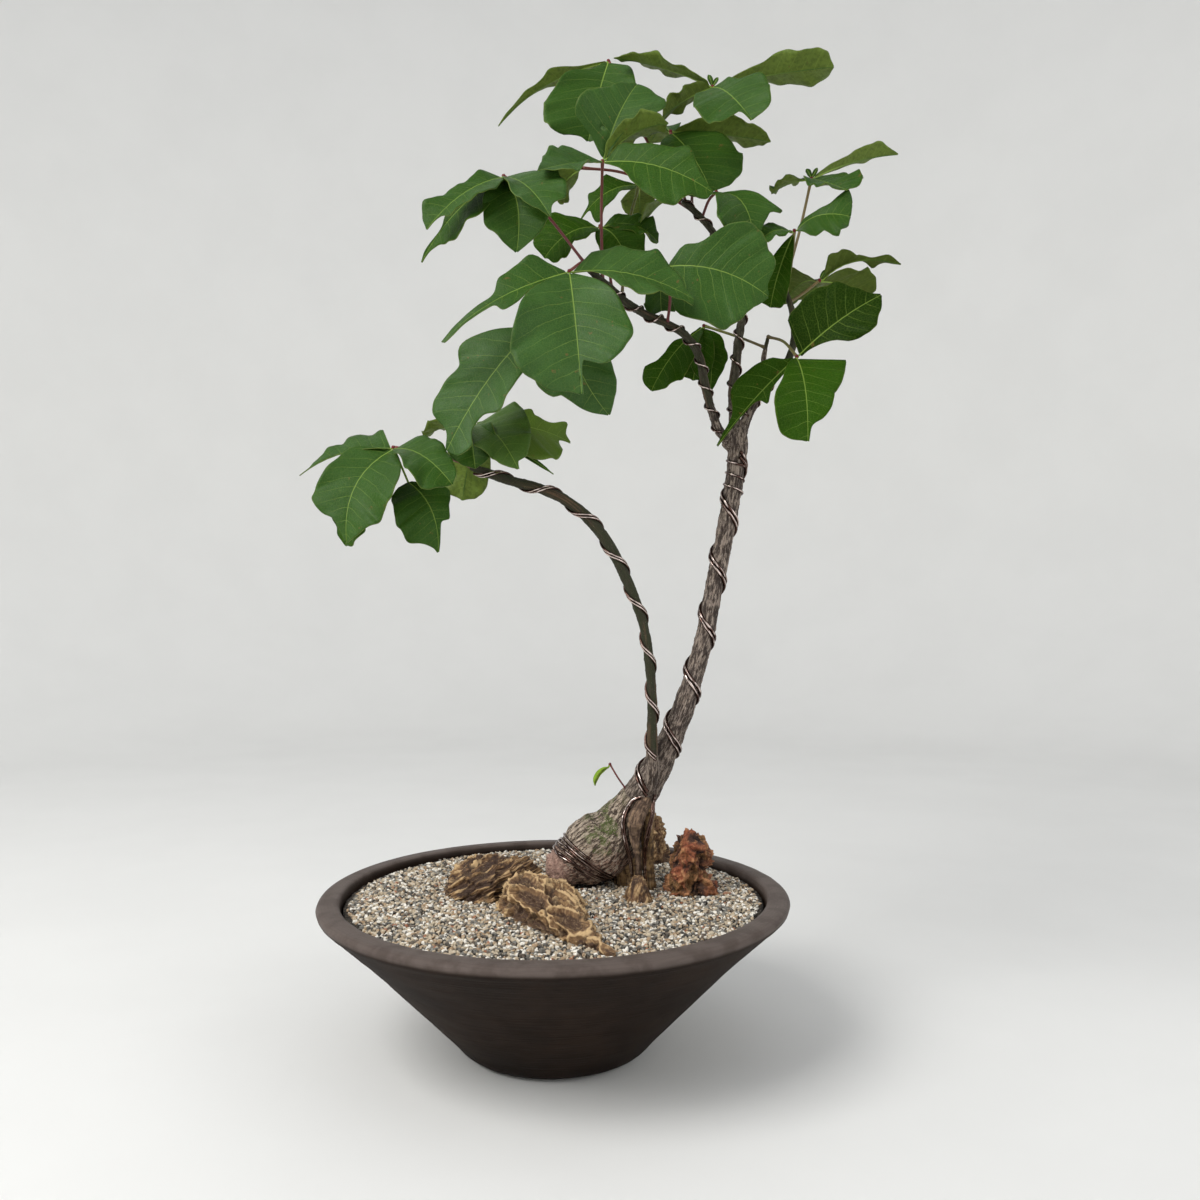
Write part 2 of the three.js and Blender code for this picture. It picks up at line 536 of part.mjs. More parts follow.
const STONE_RINGS = [0.25, 0.5, 0.74, 0.92, 1];

// A stone with upright lower sides and a rough crown that falls off towards its outline.
function makeStone({ middle, height, lean, boxy, rough, outline: plan }) {
  const level = STONE_FLOOR + CLEARANCE;
  const rings = STONE_RINGS.map((share) => plan.map(([px, py], j) => {
    const x = (px - middle[0]) * share;
    const y = (py - middle[1]) * share;
    const crag = rough * Math.sin(2.3 * j + 5 * share) * Math.sin(3.1 * share + 1.7 * j);
    const crown = (1 - share ** boxy) * (1 + crag);
    const rise = (height - GRAVEL_MOUND) * crown + x * lean[0] * crown + y * lean[1] * crown;
    return new THREE.Vector3(x, y, GRAVEL_EDGE + GRAVEL_MOUND - level + rise);
  }));
  const foot = plan.map(([px, py]) => new THREE.Vector3(px - middle[0], py - middle[1], 0));
  return skin([foot, ...rings.reverse()]);
}

// The pocket in the gravel that a stone's foot lies in.
function makePocket({ middle, outline: plan }) {
  const ring = (z) => plan.map(([px, py]) => {
    const out = new THREE.Vector2(px - middle[0], py - middle[1]);
    out.setLength(out.length() + 1.2);
    return new THREE.Vector3(middle[0] + out.x, middle[1] + out.y, z);
  });
  return skin([ring(STONE_FLOOR), ring(POT_HEIGHT + 10)]);
}

// The gravel: a relief of grains on top, the pot's inside at its edge and a flat underside.
function makeGravel() {
  const bottom = SOIL_TOP + CLEARANCE;
  const edge = innerRadius(POT_HEIGHT) - 2 * CLEARANCE;
  const ring = (radius, height) => Array.from({ length: POT_SEGMENTS }, (_, j) => {
    const angle = (2 * Math.PI * j) / POT_SEGMENTS;
    const x = radius * Math.cos(angle);
    const y = radius * Math.sin(angle);
    return new THREE.Vector3(x, y, height ?? gravelHeight(x, y));
  });
  const top = Array.from({ length: GRAVEL_RINGS }, (_, i) => ring((edge * (i + 1)) / GRAVEL_RINGS)).reverse();
  const side = innerRadius(bottom) - 2 * CLEARANCE;
  const body = skin([ring(side, bottom), ring(innerRadius(POT_HEIGHT - LIP_HEIGHT) - 2 * CLEARANCE, 128), ...top]);
  const cuts = [...Object.values(ROOT_HOLES).map((spec) => hole(spec, POT_HEIGHT + 10)),
    ...Object.values(STONES).map(makePocket)];
  return cuts.reduce((whole, cut) => whole.subtract(cut), body);
}

const wood = makeWood();
const grownWood = makeWood(CLEARANCE);

add('pot', makePot(), CLAY);
add('drain_net', lathe([
  [0, FLOOR_THICKNESS + CLEARANCE], [MESH_RADIUS, FLOOR_THICKNESS + CLEARANCE],
  [MESH_RADIUS, FLOOR_THICKNESS + CLEARANCE + MESH_THICKNESS], [0, FLOOR_THICKNESS + CLEARANCE + MESH_THICKNESS]],
24), NET);
add('soil', makeSoil(), SOIL);
add('gravel', makeGravel(), GRAVEL);
for (const [name, stone] of Object.entries(STONES)) {
  add(name, makeStone(stone), stone.finish, [...stone.middle, STONE_FLOOR + CLEARANCE]);
}
add('tree_wood', wood, BARK);

const { trunk, leftBranch, upperLeftBranch, middleBranch, rightShoot, caudex } = LIMBS;
add('wire_trunk_upper', coil(trunk, 33, 352, 53, 0.2, TRUNK_WIRE), WIRE);
add('wire_trunk_lower', coil(trunk, 28, 347, 53, 0.2, TRUNK_WIRE), WIRE);
add('wire_left_upper', coil(leftBranch, 30, 368, 46, 0.4, BRANCH_WIRE, 7), WIRE);
add('wire_left_lower', coil(leftBranch, 26.5, 364.5, 46, 0.4, BRANCH_WIRE, 7), WIRE);
add('wire_upper_left', coil(upperLeftBranch, 16, 190, 21, 0, BRANCH_WIRE, 7), WIRE);
add('wire_middle', coil(middleBranch, 22, 238, 24, 0, BRANCH_WIRE, 7), WIRE);
add('wire_right', coil(rightShoot, 20, 60, 20, 0, BRANCH_WIRE, 7), WIRE);
add('wire_caudex', coil(caudex, 25, 44, 2.8, 0, BRANCH_WIRE, 10), WIRE);
add('wire_anchor_left', strand([
  [78.5, 6.8, 222], [72, 7.8, 219], [65.5, 7, 209], [63, 4, 200], [63.5, 3, 190], [66, 0.5, 178],
  [69, 1.5, 165], [70.5, 3, 150], [71, 4, 139.5]], 14, BRANCH_WIRE), WIRE);
add('wire_anchor_right', strand([
  [90.8, 11.2, 223], [88.5, 4.8, 215], [87.5, 1, 207], [84.5, -1, 196], [82.5, -1, 186], [80.5, 0, 175],
  [80.5, 1.5, 160], [81.5, 3, 148], [82, 4.5, 139.5]], 12, BRANCH_WIRE), WIRE);

for (const [name, leaf] of Object.entries(LEAVES)) {
  const blades = makeBlades(leaf);
  add(`leaf_${name}`, blades, leaf.leaf ?? GREEN, leaf.hub);
  add(`stalk_${name}`, makeStalk(leaf, blades, grownWood), leaf.stalk ?? RED_STALK);
}

export default bonsai;
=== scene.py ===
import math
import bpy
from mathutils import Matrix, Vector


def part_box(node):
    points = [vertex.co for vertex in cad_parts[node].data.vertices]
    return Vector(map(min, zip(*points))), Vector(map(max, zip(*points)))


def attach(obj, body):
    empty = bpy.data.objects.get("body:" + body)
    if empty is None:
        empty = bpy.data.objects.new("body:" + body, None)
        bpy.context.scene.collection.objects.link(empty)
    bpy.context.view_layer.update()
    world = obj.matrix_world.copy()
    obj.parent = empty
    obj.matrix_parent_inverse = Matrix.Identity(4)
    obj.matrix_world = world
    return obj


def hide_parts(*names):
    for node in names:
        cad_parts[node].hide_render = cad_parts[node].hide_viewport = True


bl_info = {
    "name": "Bonsai in a Round Pot",
    "version": (1, 0, 0),
    "blender": (4, 5, 0),
    "location": "3D View > Sidebar > Bonsai",
    "description": "Bark, leaves, wire, stones, gravel and fired clay for a swollen-stemmed bonsai",
    "category": "Add Mesh",
}

import bmesh
import bpy
import numpy as np
from mathutils import Vector, noise
from mathutils.bvhtree import BVHTree

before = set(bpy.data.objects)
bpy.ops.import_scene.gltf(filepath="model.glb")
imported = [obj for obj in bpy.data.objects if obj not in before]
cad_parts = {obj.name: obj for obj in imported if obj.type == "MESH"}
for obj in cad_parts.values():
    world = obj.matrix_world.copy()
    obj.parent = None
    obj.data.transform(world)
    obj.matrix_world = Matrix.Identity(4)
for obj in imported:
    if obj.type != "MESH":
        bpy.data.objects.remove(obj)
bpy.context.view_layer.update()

# Lengths in the tables below are millimetres, and every mesh is made in metres.
MM = 0.001
FRONT = np.array([0.0, -1.0, 0.0])
UP = np.array([0.0, 0.0, 1.0])


def tint(red, green, blue):
    """A colour as the nodes want it, from three everyday values of 0 to 255."""
    shares = [value / 255 for value in (red, green, blue)]
    return tuple(s / 12.92 if s < 0.04045 else ((s + 0.055) / 1.055) ** 2.4 for s in shares) + (1.0,)


# Settings


def length(name, description, default):
    """A length setting in metres."""
    return bpy.props.FloatProperty(
        name=name, description=description, default=default, min=0.0, unit="LENGTH", precision=5)


def colour(name, description, default):
    """A colour setting."""
    return bpy.props.FloatVectorProperty(
        name=name, description=description, default=default, size=4, min=0.0, max=1.0, subtype="COLOR")


def number(name, description, default, least=0.0):
    """A plain number setting."""
    return bpy.props.FloatProperty(name=name, description=description, default=default, min=least)


class PotSettings(bpy.types.PropertyGroup):
    """The fired clay pot."""

    rim_radius: length("Rim Radius", "Outer radius of the rim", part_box("pot")[1].x)
    height: length("Height", "From the base to the rim's top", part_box("pot")[1].z)
    rim_width: length("Rim Width", "Width of the rim's flat top", 0.020)
    # The wall's clay is painted dark as painted shade, and the rim's clay paler as painted light from
    # above; both are one clay.
    clay: colour("Clay", "The wall's clay", tint(29, 19, 12))
    rim: colour("Rim Clay", "Paler clay of the rim, rubbed by handling", tint(97, 87, 82))
    dust: colour("Dust", "Mineral dust in the scratches", tint(150, 142, 134))


class GravelSettings(bpy.types.PropertyGroup):
    """The top layer of loose grains."""

    coarse: length("Coarse Grain", "Size of the larger grains", 0.0045)
    fine: length("Fine Grain", "Size of the smaller grains", 0.0032)
    coarse_gap: length("Coarse Spacing", "Least distance between larger grains", 0.0038)
    fine_gap: length("Fine Spacing", "Least distance between smaller grains", 0.0030)
    seed: bpy.props.IntProperty(name="Seed", description="Changes how the grains fall", default=4)
    white: colour("White", "Quartz grains", tint(248, 243, 232))
    cream: colour("Cream", "The commonest grains", tint(200, 184, 158))
    tan: colour("Tan", "Feldspar grains", tint(174, 144, 110))
    grey: colour("Grey", "Mid-grey grains", tint(120, 118, 112))
    dark: colour("Dark", "Dark grains", tint(40, 39, 38))


class StoneSettings(bpy.types.PropertyGroup):
    """The five loose stones."""

    ochre: colour("Ochre", "Body of the ridged slabs", tint(130, 98, 62))
    # The slabs are paler on their crests and darker in their hollows and pits, as their carved shape sets.
    pale: colour("Pale Ridge", "Worn ridges of the slabs", tint(208, 176, 130))
    deep: colour("Deep", "Clay in the slabs' pits", tint(54, 34, 22))
    rust: colour("Rust", "Body of the lava rock", tint(116, 68, 45))
    # The lava is paler on its crests and near-black in its hollows and pits, as its carved shape sets.
    ember: colour("Ember", "Paler crusts of the lava rock", tint(192, 136, 94))
    char: colour("Char", "Pores of the lava rock", tint(46, 27, 20))


class WoodSettings(bpy.types.PropertyGroup):
    """The swollen stem base, roots, trunk and branches."""

    voxel: length("Voxel", "Size of the mesh that blends the limbs together", 0.0012)
    grey: colour("Old Bark", "Bark of the trunk", tint(106, 92, 83))
    brown: colour("Crack", "Bottoms of the bark's cracks", tint(54, 44, 39))
    green: colour("Young Bark", "Bark of the young branches", tint(46, 49, 25))
    dark: colour("Dark Bark", "Old bark between the young branches' stripes", tint(62, 50, 42))
    moss: colour("Moss", "Green film on the stem base", tint(92, 110, 48))
    root: colour("Root", "Brown of the bare roots", tint(128, 104, 86))
    blush: colour("Blush", "Pinkish bark at the stem base's end", tint(200, 162, 146))


class WireSettings(bpy.types.PropertyGroup):
    """The training wires."""

    trunk: length("Trunk Wire", "Radius of the trunk's wires", 0.00155)
    branch: length("Branch Wire", "Radius of the branches' wires", 0.00115)
    metal: colour("Metal", "Brown anodised metal", tint(84, 64, 57))


class LeafSettings(bpy.types.PropertyGroup):
    """The leaves and their stalks."""

    thickness: length("Thickness", "Thickness of a blade", 0.0007)
    green: colour("Green", "Upper side", tint(44, 77, 25))
    light: colour("Light Green", "Upper side where it swells between veins", tint(57, 91, 37))
    # Painted shade: the green of the blades that stand in shade.
    deep: colour("Deep Green", "Upper side of the shaded blades", tint(40, 71, 3))
    olive: colour("Olive", "Underside", tint(98, 118, 46))
    vein: colour("Vein", "Midrib and side veins", tint(134, 160, 72))
    spot: colour("Spot", "Old bites and brown spots", tint(112, 86, 48))
    red: colour("Red Stalk", "Stalks and hubs of the older leaves", tint(108, 42, 46))
    yellow: colour("Green Stalk", "Stalks of the shaded leaves", tint(126, 132, 66))
    fresh: colour("Fresh", "The young leaf on the stem base", tint(140, 176, 52))


class StageSettings(bpy.types.PropertyGroup):
    """The studio: floor, lights and camera."""

    floor: colour("Floor", "Pale floor and backdrop", tint(236, 236, 234))
    key: number("Key Light", "Power of the main light", 60.0)
    fill: number("Fill Light", "Power of the fill light", 9.0)
    lens: number("Lens", "Focal length in millimetres", 32.37, 1.0)
    eye_x: length("Camera Across", "Camera's place to the right of the pot's middle", 0.0408)
    eye_y: length("Camera Distance", "Camera's distance in front of the pot's middle", 0.979)
    eye_z: length("Camera Height", "Camera's height above the pot's base", 0.402)


SETTINGS = {
    "bonsai_pot": PotSettings,
    "bonsai_gravel": GravelSettings,
    "bonsai_stones": StoneSettings,
    "bonsai_wood": WoodSettings,
    "bonsai_wires": WireSettings,
    "bonsai_leaves": LeafSettings,
    "bonsai_stage": StageSettings,
}


# Node trees


class Graph:
    """Adds nodes to a tree, so that a material or a shape reads as a few lines."""

    def __init__(self, tree):
        self.tree = tree

    def node(self, kind, settings=None, **inputs):
        """Adds a node, sets its settings and feeds its inputs by name, with _ for a space."""
        made = self.tree.nodes.new(kind)
        for key, value in (settings or {}).items():
            setattr(made, key, value)
        for key, value in inputs.items():
            self.feed(made.inputs[key.replace("_", " ")], value)
        return made

    def feed(self, socket, value):
        """Links a socket to an output, or sets it to a plain value."""
        if isinstance(value, bpy.types.NodeSocket):
            self.tree.links.new(value, socket)
        else:
            socket.default_value = value

    def row(self, kind, settings, *values):
        """Adds a node, feeds its inputs in their order and gives its first output."""
        made = self.node(kind, settings)
        for socket, value in zip(made.inputs, values):
            self.feed(socket, value)
        return made.outputs[0]

    def math(self, operation, *values):
        """One step of arithmetic on numbers."""
        return self.row("ShaderNodeMath", {"operation": operation}, *values)

    def vector(self, operation, *values):
        """One step of arithmetic on vectors."""
        return self.row("ShaderNodeVectorMath", {"operation": operation}, *values)

    def times(self, product, *others):
        """Numbers multiplied together."""
        for other in others:
            product = self.math("MULTIPLY", product, other)
        return product

    def scaled(self, vector, factors):
        """A vector with each of its parts multiplied."""
        return self.vector("MULTIPLY", vector, factors)

    def ease(self, value, low, high, start=0.0, end=1.0):
        """A value eased from start to end while it goes from low to high."""
        settings = {"interpolation_type": "SMOOTHSTEP"}
        return self.row("ShaderNodeMapRange", settings, value, low, high, start, end)

    def mix(self, share, first, second):
        """Two colours mixed by a share of the second, fed by number as their names repeat in the node."""
        made = self.node("ShaderNodeMix", {"data_type": "RGBA"})
        self.feed(made.inputs[0], share)
        self.feed(made.inputs[6], first)
        self.feed(made.inputs[7], second)
        return made.outputs[2]

    def coats(self, base, *layers):
        """A colour under coats: each has a value, the ends it eases between, its share and its colour."""
        for value, low, high, share, shade in layers:
            base = self.mix(self.ease(value, low, high, 0, share), base, shade)
        return base

    def noise(self, vector, scale, detail=3.0, roughness=0.55):
        """Soft random clouds of 0 to 1."""
        return self.node("ShaderNodeTexNoise", Vector=vector, Scale=scale, Detail=detail,
                         Roughness=roughness).outputs[0]

    def cells(self, vector, scale, feature="F1"):
        """How far each spot is from the middle of its random cell, or from the cell's edge."""
        made = self.node("ShaderNodeTexVoronoi", {"feature": feature}, Vector=vector, Scale=scale)
        return made.outputs[0]

    def steps(self, value, stops):
        """A colour looked up in a row of stops, each a position and a colour."""
        made = self.node("ShaderNodeValToRGB", Fac=value)
        ramp = made.color_ramp
        for place, _ in stops[1:-1]:
            ramp.elements.new(place)
        for element, (place, shade) in zip(ramp.elements, stops):
            element.position = place
            element.color = shade
        return made.outputs[0]

    def kept(self, name):
        """The vector that a piece keeps at each spot under a name."""
        return self.node("ShaderNodeAttribute", {"attribute_name": name}).outputs["Vector"]

    def parts(self, vector):
        """A vector's three parts."""
        return self.node("ShaderNodeSeparateXYZ", Vector=vector).outputs

    def place(self):
        """Object coordinates in millimetres."""
        raw = self.node("ShaderNodeTexCoord").outputs["Object"]
        return self.scaled(raw, (1 / MM, 1 / MM, 1 / MM))

    def bump(self, height, depth):
        """A bump of a height from 0 to 1, as deep as given in millimetres."""
        return self.node("ShaderNodeBump", Height=height, Strength=1.0, Distance=depth * MM).outputs[0]


def finish(name, paint, **fixed):
    """A material: paint feeds the shader's linked sockets, and fixed sets its plain ones."""
    material = bpy.data.materials.new(name)
    material.use_nodes = True
    graph = Graph(material.node_tree)
    shader = material.node_tree.nodes["Principled BSDF"]
    for key, value in fixed.items():
        shader.inputs[key.replace("_", " ")].default_value = value
    for key, value in paint(graph).items():
        graph.feed(shader.inputs[key], value)
    return material


def shape_tree(name, made, **given):
    """A geometry node tree, with the name of what it makes and the kind of each input that it is given."""
    tree = bpy.data.node_groups.new(name, "GeometryNodeTree")
    for label, kind in given.items():
        tree.interface.new_socket(label, in_out="INPUT", socket_type="NodeSocket" + kind)
    tree.interface.new_socket(made, in_out="OUTPUT", socket_type="NodeSocketGeometry")
    return Graph(tree)


def end_tree(g, geometry, material):
    """Ends a geometry node tree in a real mesh with its material on."""
    whole = g.node("GeometryNodeRealizeInstances", Geometry=geometry)
    dressed = g.node("GeometryNodeSetMaterial", Geometry=whole.outputs[0], Material=material)
    g.feed(g.node("NodeGroupOutput").inputs[0], dressed.outputs[0])
    return g.tree


def random_vector(g, low, high, seed):
    """A random vector for each element of a node tree's geometry."""
    made = g.node("FunctionNodeRandomValue", {"data_type": "FLOAT_VECTOR"})
    made.inputs[0].default_value = low
    made.inputs[1].default_value = high
    made.inputs["Seed"].default_value = seed
    return made.outputs[0]


def grow(piece, tree, **values):
    """Adds a node tree to a piece and sets the tree's inputs by their names."""
    modifier = piece.modifiers.new(tree.name, "NODES")
    modifier.node_group = tree
    for item in tree.interface.items_tree:
        if item.item_type == "SOCKET" and item.in_out == "INPUT" and item.name in values:
            modifier[item.identifier] = values[item.name]


# Meshes


def unit(vector):
    """A vector, or each of a row of vectors, made 1 long."""
    return vector / np.linalg.norm(vector, axis=-1, keepdims=True)


def smooth_step(value, low, high):
    """A share that eases from 0 to 1 while a value goes from low to high."""
    share = np.clip((value - low) / (high - low), 0, 1)
    return share * share * (3 - 2 * share)


def whole_turn(count):
    """Evenly spaced angles, once round."""
    return np.arange(count) * 2 * math.pi / count


def circle(count):
    """Evenly spaced points on a circle of radius 1."""
    turn = whole_turn(count)
    return np.stack([np.cos(turn), np.sin(turn)], axis=1)


def run_along(line):
    """How far along a line each of its points lies."""
    return np.concatenate([[0], np.cumsum(np.linalg.norm(np.diff(line, axis=0), axis=1))])


def read_at(distance, run, values):
    """Values kept along a line, read at distances from its start."""
    if values.ndim == 1:
        return np.interp(distance, run, values)
    return np.stack([np.interp(distance, run, part) for part in values.T], axis=-1)


def placed(name, data):
    """A new object in the scene."""
    made = bpy.data.objects.new(name, data)
    bpy.context.scene.collection.objects.link(made)
    return made


def mark(piece, **marks):
    """Keeps vectors on a piece's points, for its finish to read."""
    for key, values in marks.items():
        layer = piece.data.attributes.new(key, "FLOAT_VECTOR", "POINT")
        layer.data.foreach_set("vector", np.asarray(values, np.float32).ravel())
    return piece


def mesh_piece(name, points, faces, **marks):
    """A mesh object from points in millimetres, with the vectors that it keeps on its points."""
    mesh = bpy.data.meshes.new(name)
    mesh.from_pydata((np.asarray(points) * MM).tolist(), [], faces)
    mesh.shade_smooth()
    mesh.update()
    return mark(placed(name, mesh), **marks)


def real_mesh(piece):
    """What a piece's modifiers make of it, as a plain mesh."""
    graph = bpy.context.evaluated_depsgraph_get()
    return bpy.data.meshes.new_from_object(piece.evaluated_get(graph), depsgraph=graph)


def even_skin(piece, voxel):
    """Gives a piece one closed skin of even faces."""
    remesh = piece.modifiers.new("even", "REMESH")
    remesh.mode = "VOXEL"
    remesh.voxel_size = voxel
    remesh.use_smooth_shade = True


def settle(piece):
    """The piece with its modifiers made into a plain mesh."""
    mesh = real_mesh(piece)
    piece.modifiers.clear()
    piece.data = mesh
    return piece


def dress(piece, material, slot, *nodes):
    """Gives a piece its finish and its body, and hides the imported nodes that it stands for."""
    if material is not None:
        piece.data.materials.clear()
        piece.data.materials.append(material)
    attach(piece, "root")
    if nodes:
        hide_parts(*nodes)


def outwards(piece):
    """The piece with the faces of each closed part pointing out."""
    shape = bmesh.new()
    shape.from_mesh(piece.data)
    bmesh.ops.delete(shape, geom=[v for v in shape.verts if not v.link_faces], context="VERTS")
    bmesh.ops.recalc_face_normals(shape, faces=shape.faces)
    shape.to_mesh(piece.data)
    shape.free()
    return piece


def tube_faces(rings, sides, closed=True):
    """Quads between rings of points, with a fan of triangles at each end where it is closed."""
    faces = []
    for i in range(rings - 1):
        for j in range(sides):
            a, b = i * sides + j, i * sides + (j + 1) % sides
            faces.append((a, b, b + sides, a + sides))
    if closed:
        first, last, top = rings * sides, rings * sides + 1, (rings - 1) * sides
        for j in range(sides):
            k = (j + 1) % sides
            faces += [(first, k, j), (last, top + j, top + k)]
    return faces


def tube(rings):
    """Points and faces of a closed tube through rings of points."""
    rings = np.asarray(rings)
    points = np.vstack([rings.reshape(-1, 3), rings[0].mean(0), rings[-1].mean(0)])
    return points, tube_faces(len(rings), rings.shape[1])


def joined(parts):
    """The points and faces of several parts as one."""
    faces, start = [], 0
    for points, part_faces, *_ in parts:
        faces += [tuple(i + start for i in face) for face in part_faces]
        start += len(points)
    return np.vstack([part[0] for part in parts]), faces


def grain(points, size, octaves, shift=0.0):
    """Smooth noise of about -1 to 1 at each point, with lumps of the given size."""
    away = Vector((shift, 0.37 * shift, 0.71 * shift))
    return np.array([noise.fractal(Vector(p) / size + away, 0.9, 2.1, octaves) for p in points])


def ridges(points, size, octaves):
    """Sharp crests of 0 to 1 at each point."""
    return 1 - np.minimum(np.abs(grain(points, size, octaves)) * 2.2, 1)


def surface(piece):
    """The points of a piece's mesh in millimetres, and their normals."""
    read = []
    for layer, key in ((piece.data.vertices, "co"), (piece.data.vertex_normals, "vector")):
        values = np.zeros(len(layer) * 3, np.float32)
        layer.foreach_get(key, values)
        read.append(values.reshape(-1, 3).astype(float))
    return read[0] / MM, read[1]


def move_points(piece, points):
    """Puts the points of a piece's mesh at new places, in millimetres."""
    piece.data.vertices.foreach_set("co", (points * MM).astype(np.float32).ravel())
    piece.data.update()


# Limbs


def smooth_line(points, per_span):
    """Points along a smooth curve through the given points, in even steps of each span."""
    knots = np.vstack([2 * points[0] - points[1], points, 2 * points[-1] - points[-2]])
    t = (np.arange(per_span) / per_span)[:, None]
    spans = []
    for a, b, c, d in zip(knots, knots[1:], knots[2:], knots[3:]):
        ab, bc, cd = (np.linalg.norm(q - p) ** 0.5 for p, q in ((a, b), (b, c), (c, d)))
        start = ((b - a) / ab - (c - a) / (ab + bc) + (c - b) / bc) * bc
        end = ((c - b) / bc - (d - b) / (bc + cd) + (d - c) / cd) * bc
        square, cube = 3 * (c - b) - 2 * start - end, 2 * (b - c) + start + end
        spans.append(b + start * t + square * t**2 + cube * t**3)
    return np.vstack([*spans, points[-1:]])


class Limb:
    """A root, trunk or branch: a smooth line through stations of x, y, z and radius."""

    def __init__(self, stations, per_span=24):
        stations = np.array(stations, float)
        self.line = smooth_line(stations[:, :3], per_span)
        spots = np.arange(len(self.line)) / per_span
        self.radii = np.interp(spots, np.arange(len(stations)), stations[:, 3])
        self.run = run_along(self.line)
        self.length = self.run[-1]
        self.along = np.gradient(self.line, axis=0)
        self.along /= np.linalg.norm(self.along, axis=1)[:, None]
        self.front = FRONT - self.along * (self.along @ FRONT)[:, None]
        self.front /= np.linalg.norm(self.front, axis=1)[:, None]
        self.side = np.cross(self.along, self.front)

    def at(self, values, distance):
        """Values kept along the line, read at distances from its start."""
        return read_at(distance, self.run, values)

    def around(self, distance, angle, reach):
        """Points round the line, at angles that run from the front over the right."""
        front, side = self.at(self.front, distance), self.at(self.side, distance)
        out = front * np.cos(angle)[..., None] + side * np.sin(angle)[..., None]
        return self.at(self.line, distance) + out * np.asarray(reach)[..., None]


LIMBS = {
    "caudex": Limb([
        (-9, 30, 151, 12), (-3, 30, 151, 17.5), (7, 30, 152, 18.5), (15, 30, 157, 22.5),
        (26, 30, 163, 29), (38, 30, 171, 32), (51, 30, 181, 29.5), (66, 28, 203, 19), (78, 25, 221, 15)]),
    "taproot": Limb([(60, 31, 188, 18), (66, 32, 150, 14), (67, 33, 115, 11)]),
    "front_root": Limb([
        (84, 18, 220, 5), (78, 6, 211, 7), (73, 2, 200, 7.6), (72, 2, 188, 5), (74, 3, 176, 3.2),
        (76, 5, 160, 2.8), (76, 8, 146, 3.6), (77, 9, 125, 4)]),
    "back_root": Limb([
        (87, 20, 206, 6), (85, 18, 190, 5.4), (85, 17, 172, 5.2), (86, 16, 154, 5.2),
        (87, 15, 137, 5.6), (86, 13, 112, 3.5)]),
    "trunk": Limb([
        (66, 28, 203, 18), (78, 25, 221, 15.5), (89, 22, 240, 14.5), (98, 20, 257, 12.5),
        (106, 18, 274, 11.2), (115, 16, 296, 10.2), (123, 14, 319, 9.3), (131, 12, 347, 8.6),
        (137, 10, 370, 8.2), (142, 8, 397, 8), (150, 6, 439, 8.2), (158, 5, 480, 8),
        (164, 5, 516, 7.9), (166, 5, 537, 8.6), (166, 5, 548, 10), (167, 5, 559, 7)]),
    "knob": Limb([(164, 6, 543, 6), (160, 6, 545, 7.5), (156, 6, 546, 6), (153, 6, 547, 3)]),
    "left_branch": Limb([
        (86, 13, 226, 5), (89, 4, 247, 6.2), (88, 0, 268, 5.4), (88, -3, 293, 4.8), (88, -4, 312, 4.6),
        (85, -6, 348, 4.5), (81, -8, 375, 4.5), (74, -10, 398, 4.6), (63, -12, 424, 5),
        (47, -14, 454, 5.2), (30, -16, 475, 5.2), (10, -18, 491, 5), (-13, -20, 501, 4.8),
        (-39, -22, 508, 4.6), (-58, -24, 514, 4.4), (-74, -25, 520, 3.2)]),
    "upper_left_branch": Limb([
        (163, 8, 545, 5), (151, 8, 555, 4.4), (143, 6, 575, 4.2), (137, 4, 595, 4.2), (133, 0, 615, 4),
        (128, -3, 628, 4), (118, -8, 640, 3.9), (103, -14, 648, 3.8), (85, -20, 654, 3.8),
        (69, -27, 661, 3.6), (51, -34, 674, 3.5), (37, -38, 685, 3.4), (29, -40, 693, 3)]),
    "middle_branch": Limb([
        (165, 6, 550, 5.5), (164, 11, 570, 5), (163, 14, 593, 4.6), (166, 15, 618, 4.4),
        (169, 16, 645, 4.2), (172, 17, 669, 4), (168, 18, 697, 3.8), (157, 19, 725, 3.6),
        (144, 19, 744, 3.4), (130, 19, 760, 3.2), (117, 22, 772, 2.8)]),
    "right_shoot": Limb([
        (168, 5, 550, 6), (174, 4, 566, 4.8), (180, 4, 579, 4.4), (189, 5, 592, 4.2), (202, 8, 607, 4),
        (213, 10, 622, 3.8), (219, 12, 641, 3.4), (218, 10, 660, 3.2), (214, 8, 675, 3),
        (209, 8, 687, 2.6)]),
    "twig": Limb([(189, 6, 592, 3), (189, 6, 610, 2.6), (191, 5, 628, 2.3), (194, 5, 642, 2)]),
}

# How old each limb's bark is, from green twig at 0 to cracked trunk at 1.
AGE = {
    "caudex": 1.0, "taproot": 0.9, "front_root": 0.8, "back_root": 0.55, "trunk": 1.0, "knob": 0.9,
    "left_branch": 0.35, "upper_left_branch": 0.45, "middle_branch": 0.5, "right_shoot": 0.4, "twig": 0.2,
}


# Wood


# The spacing of a limb's rings, and the sides of a thick limb's rings and of a thin one's.
LIMB_STEP = 2.5
THICK_RADIUS = 12
THICK_SIDES, THIN_SIDES = 40, 20
# A branch's bark is nearly as old as the trunk's up to the first distance along it, and from the second on
# it has the limb's own age.
OLD_TO, YOUNG_FROM = 30, 62


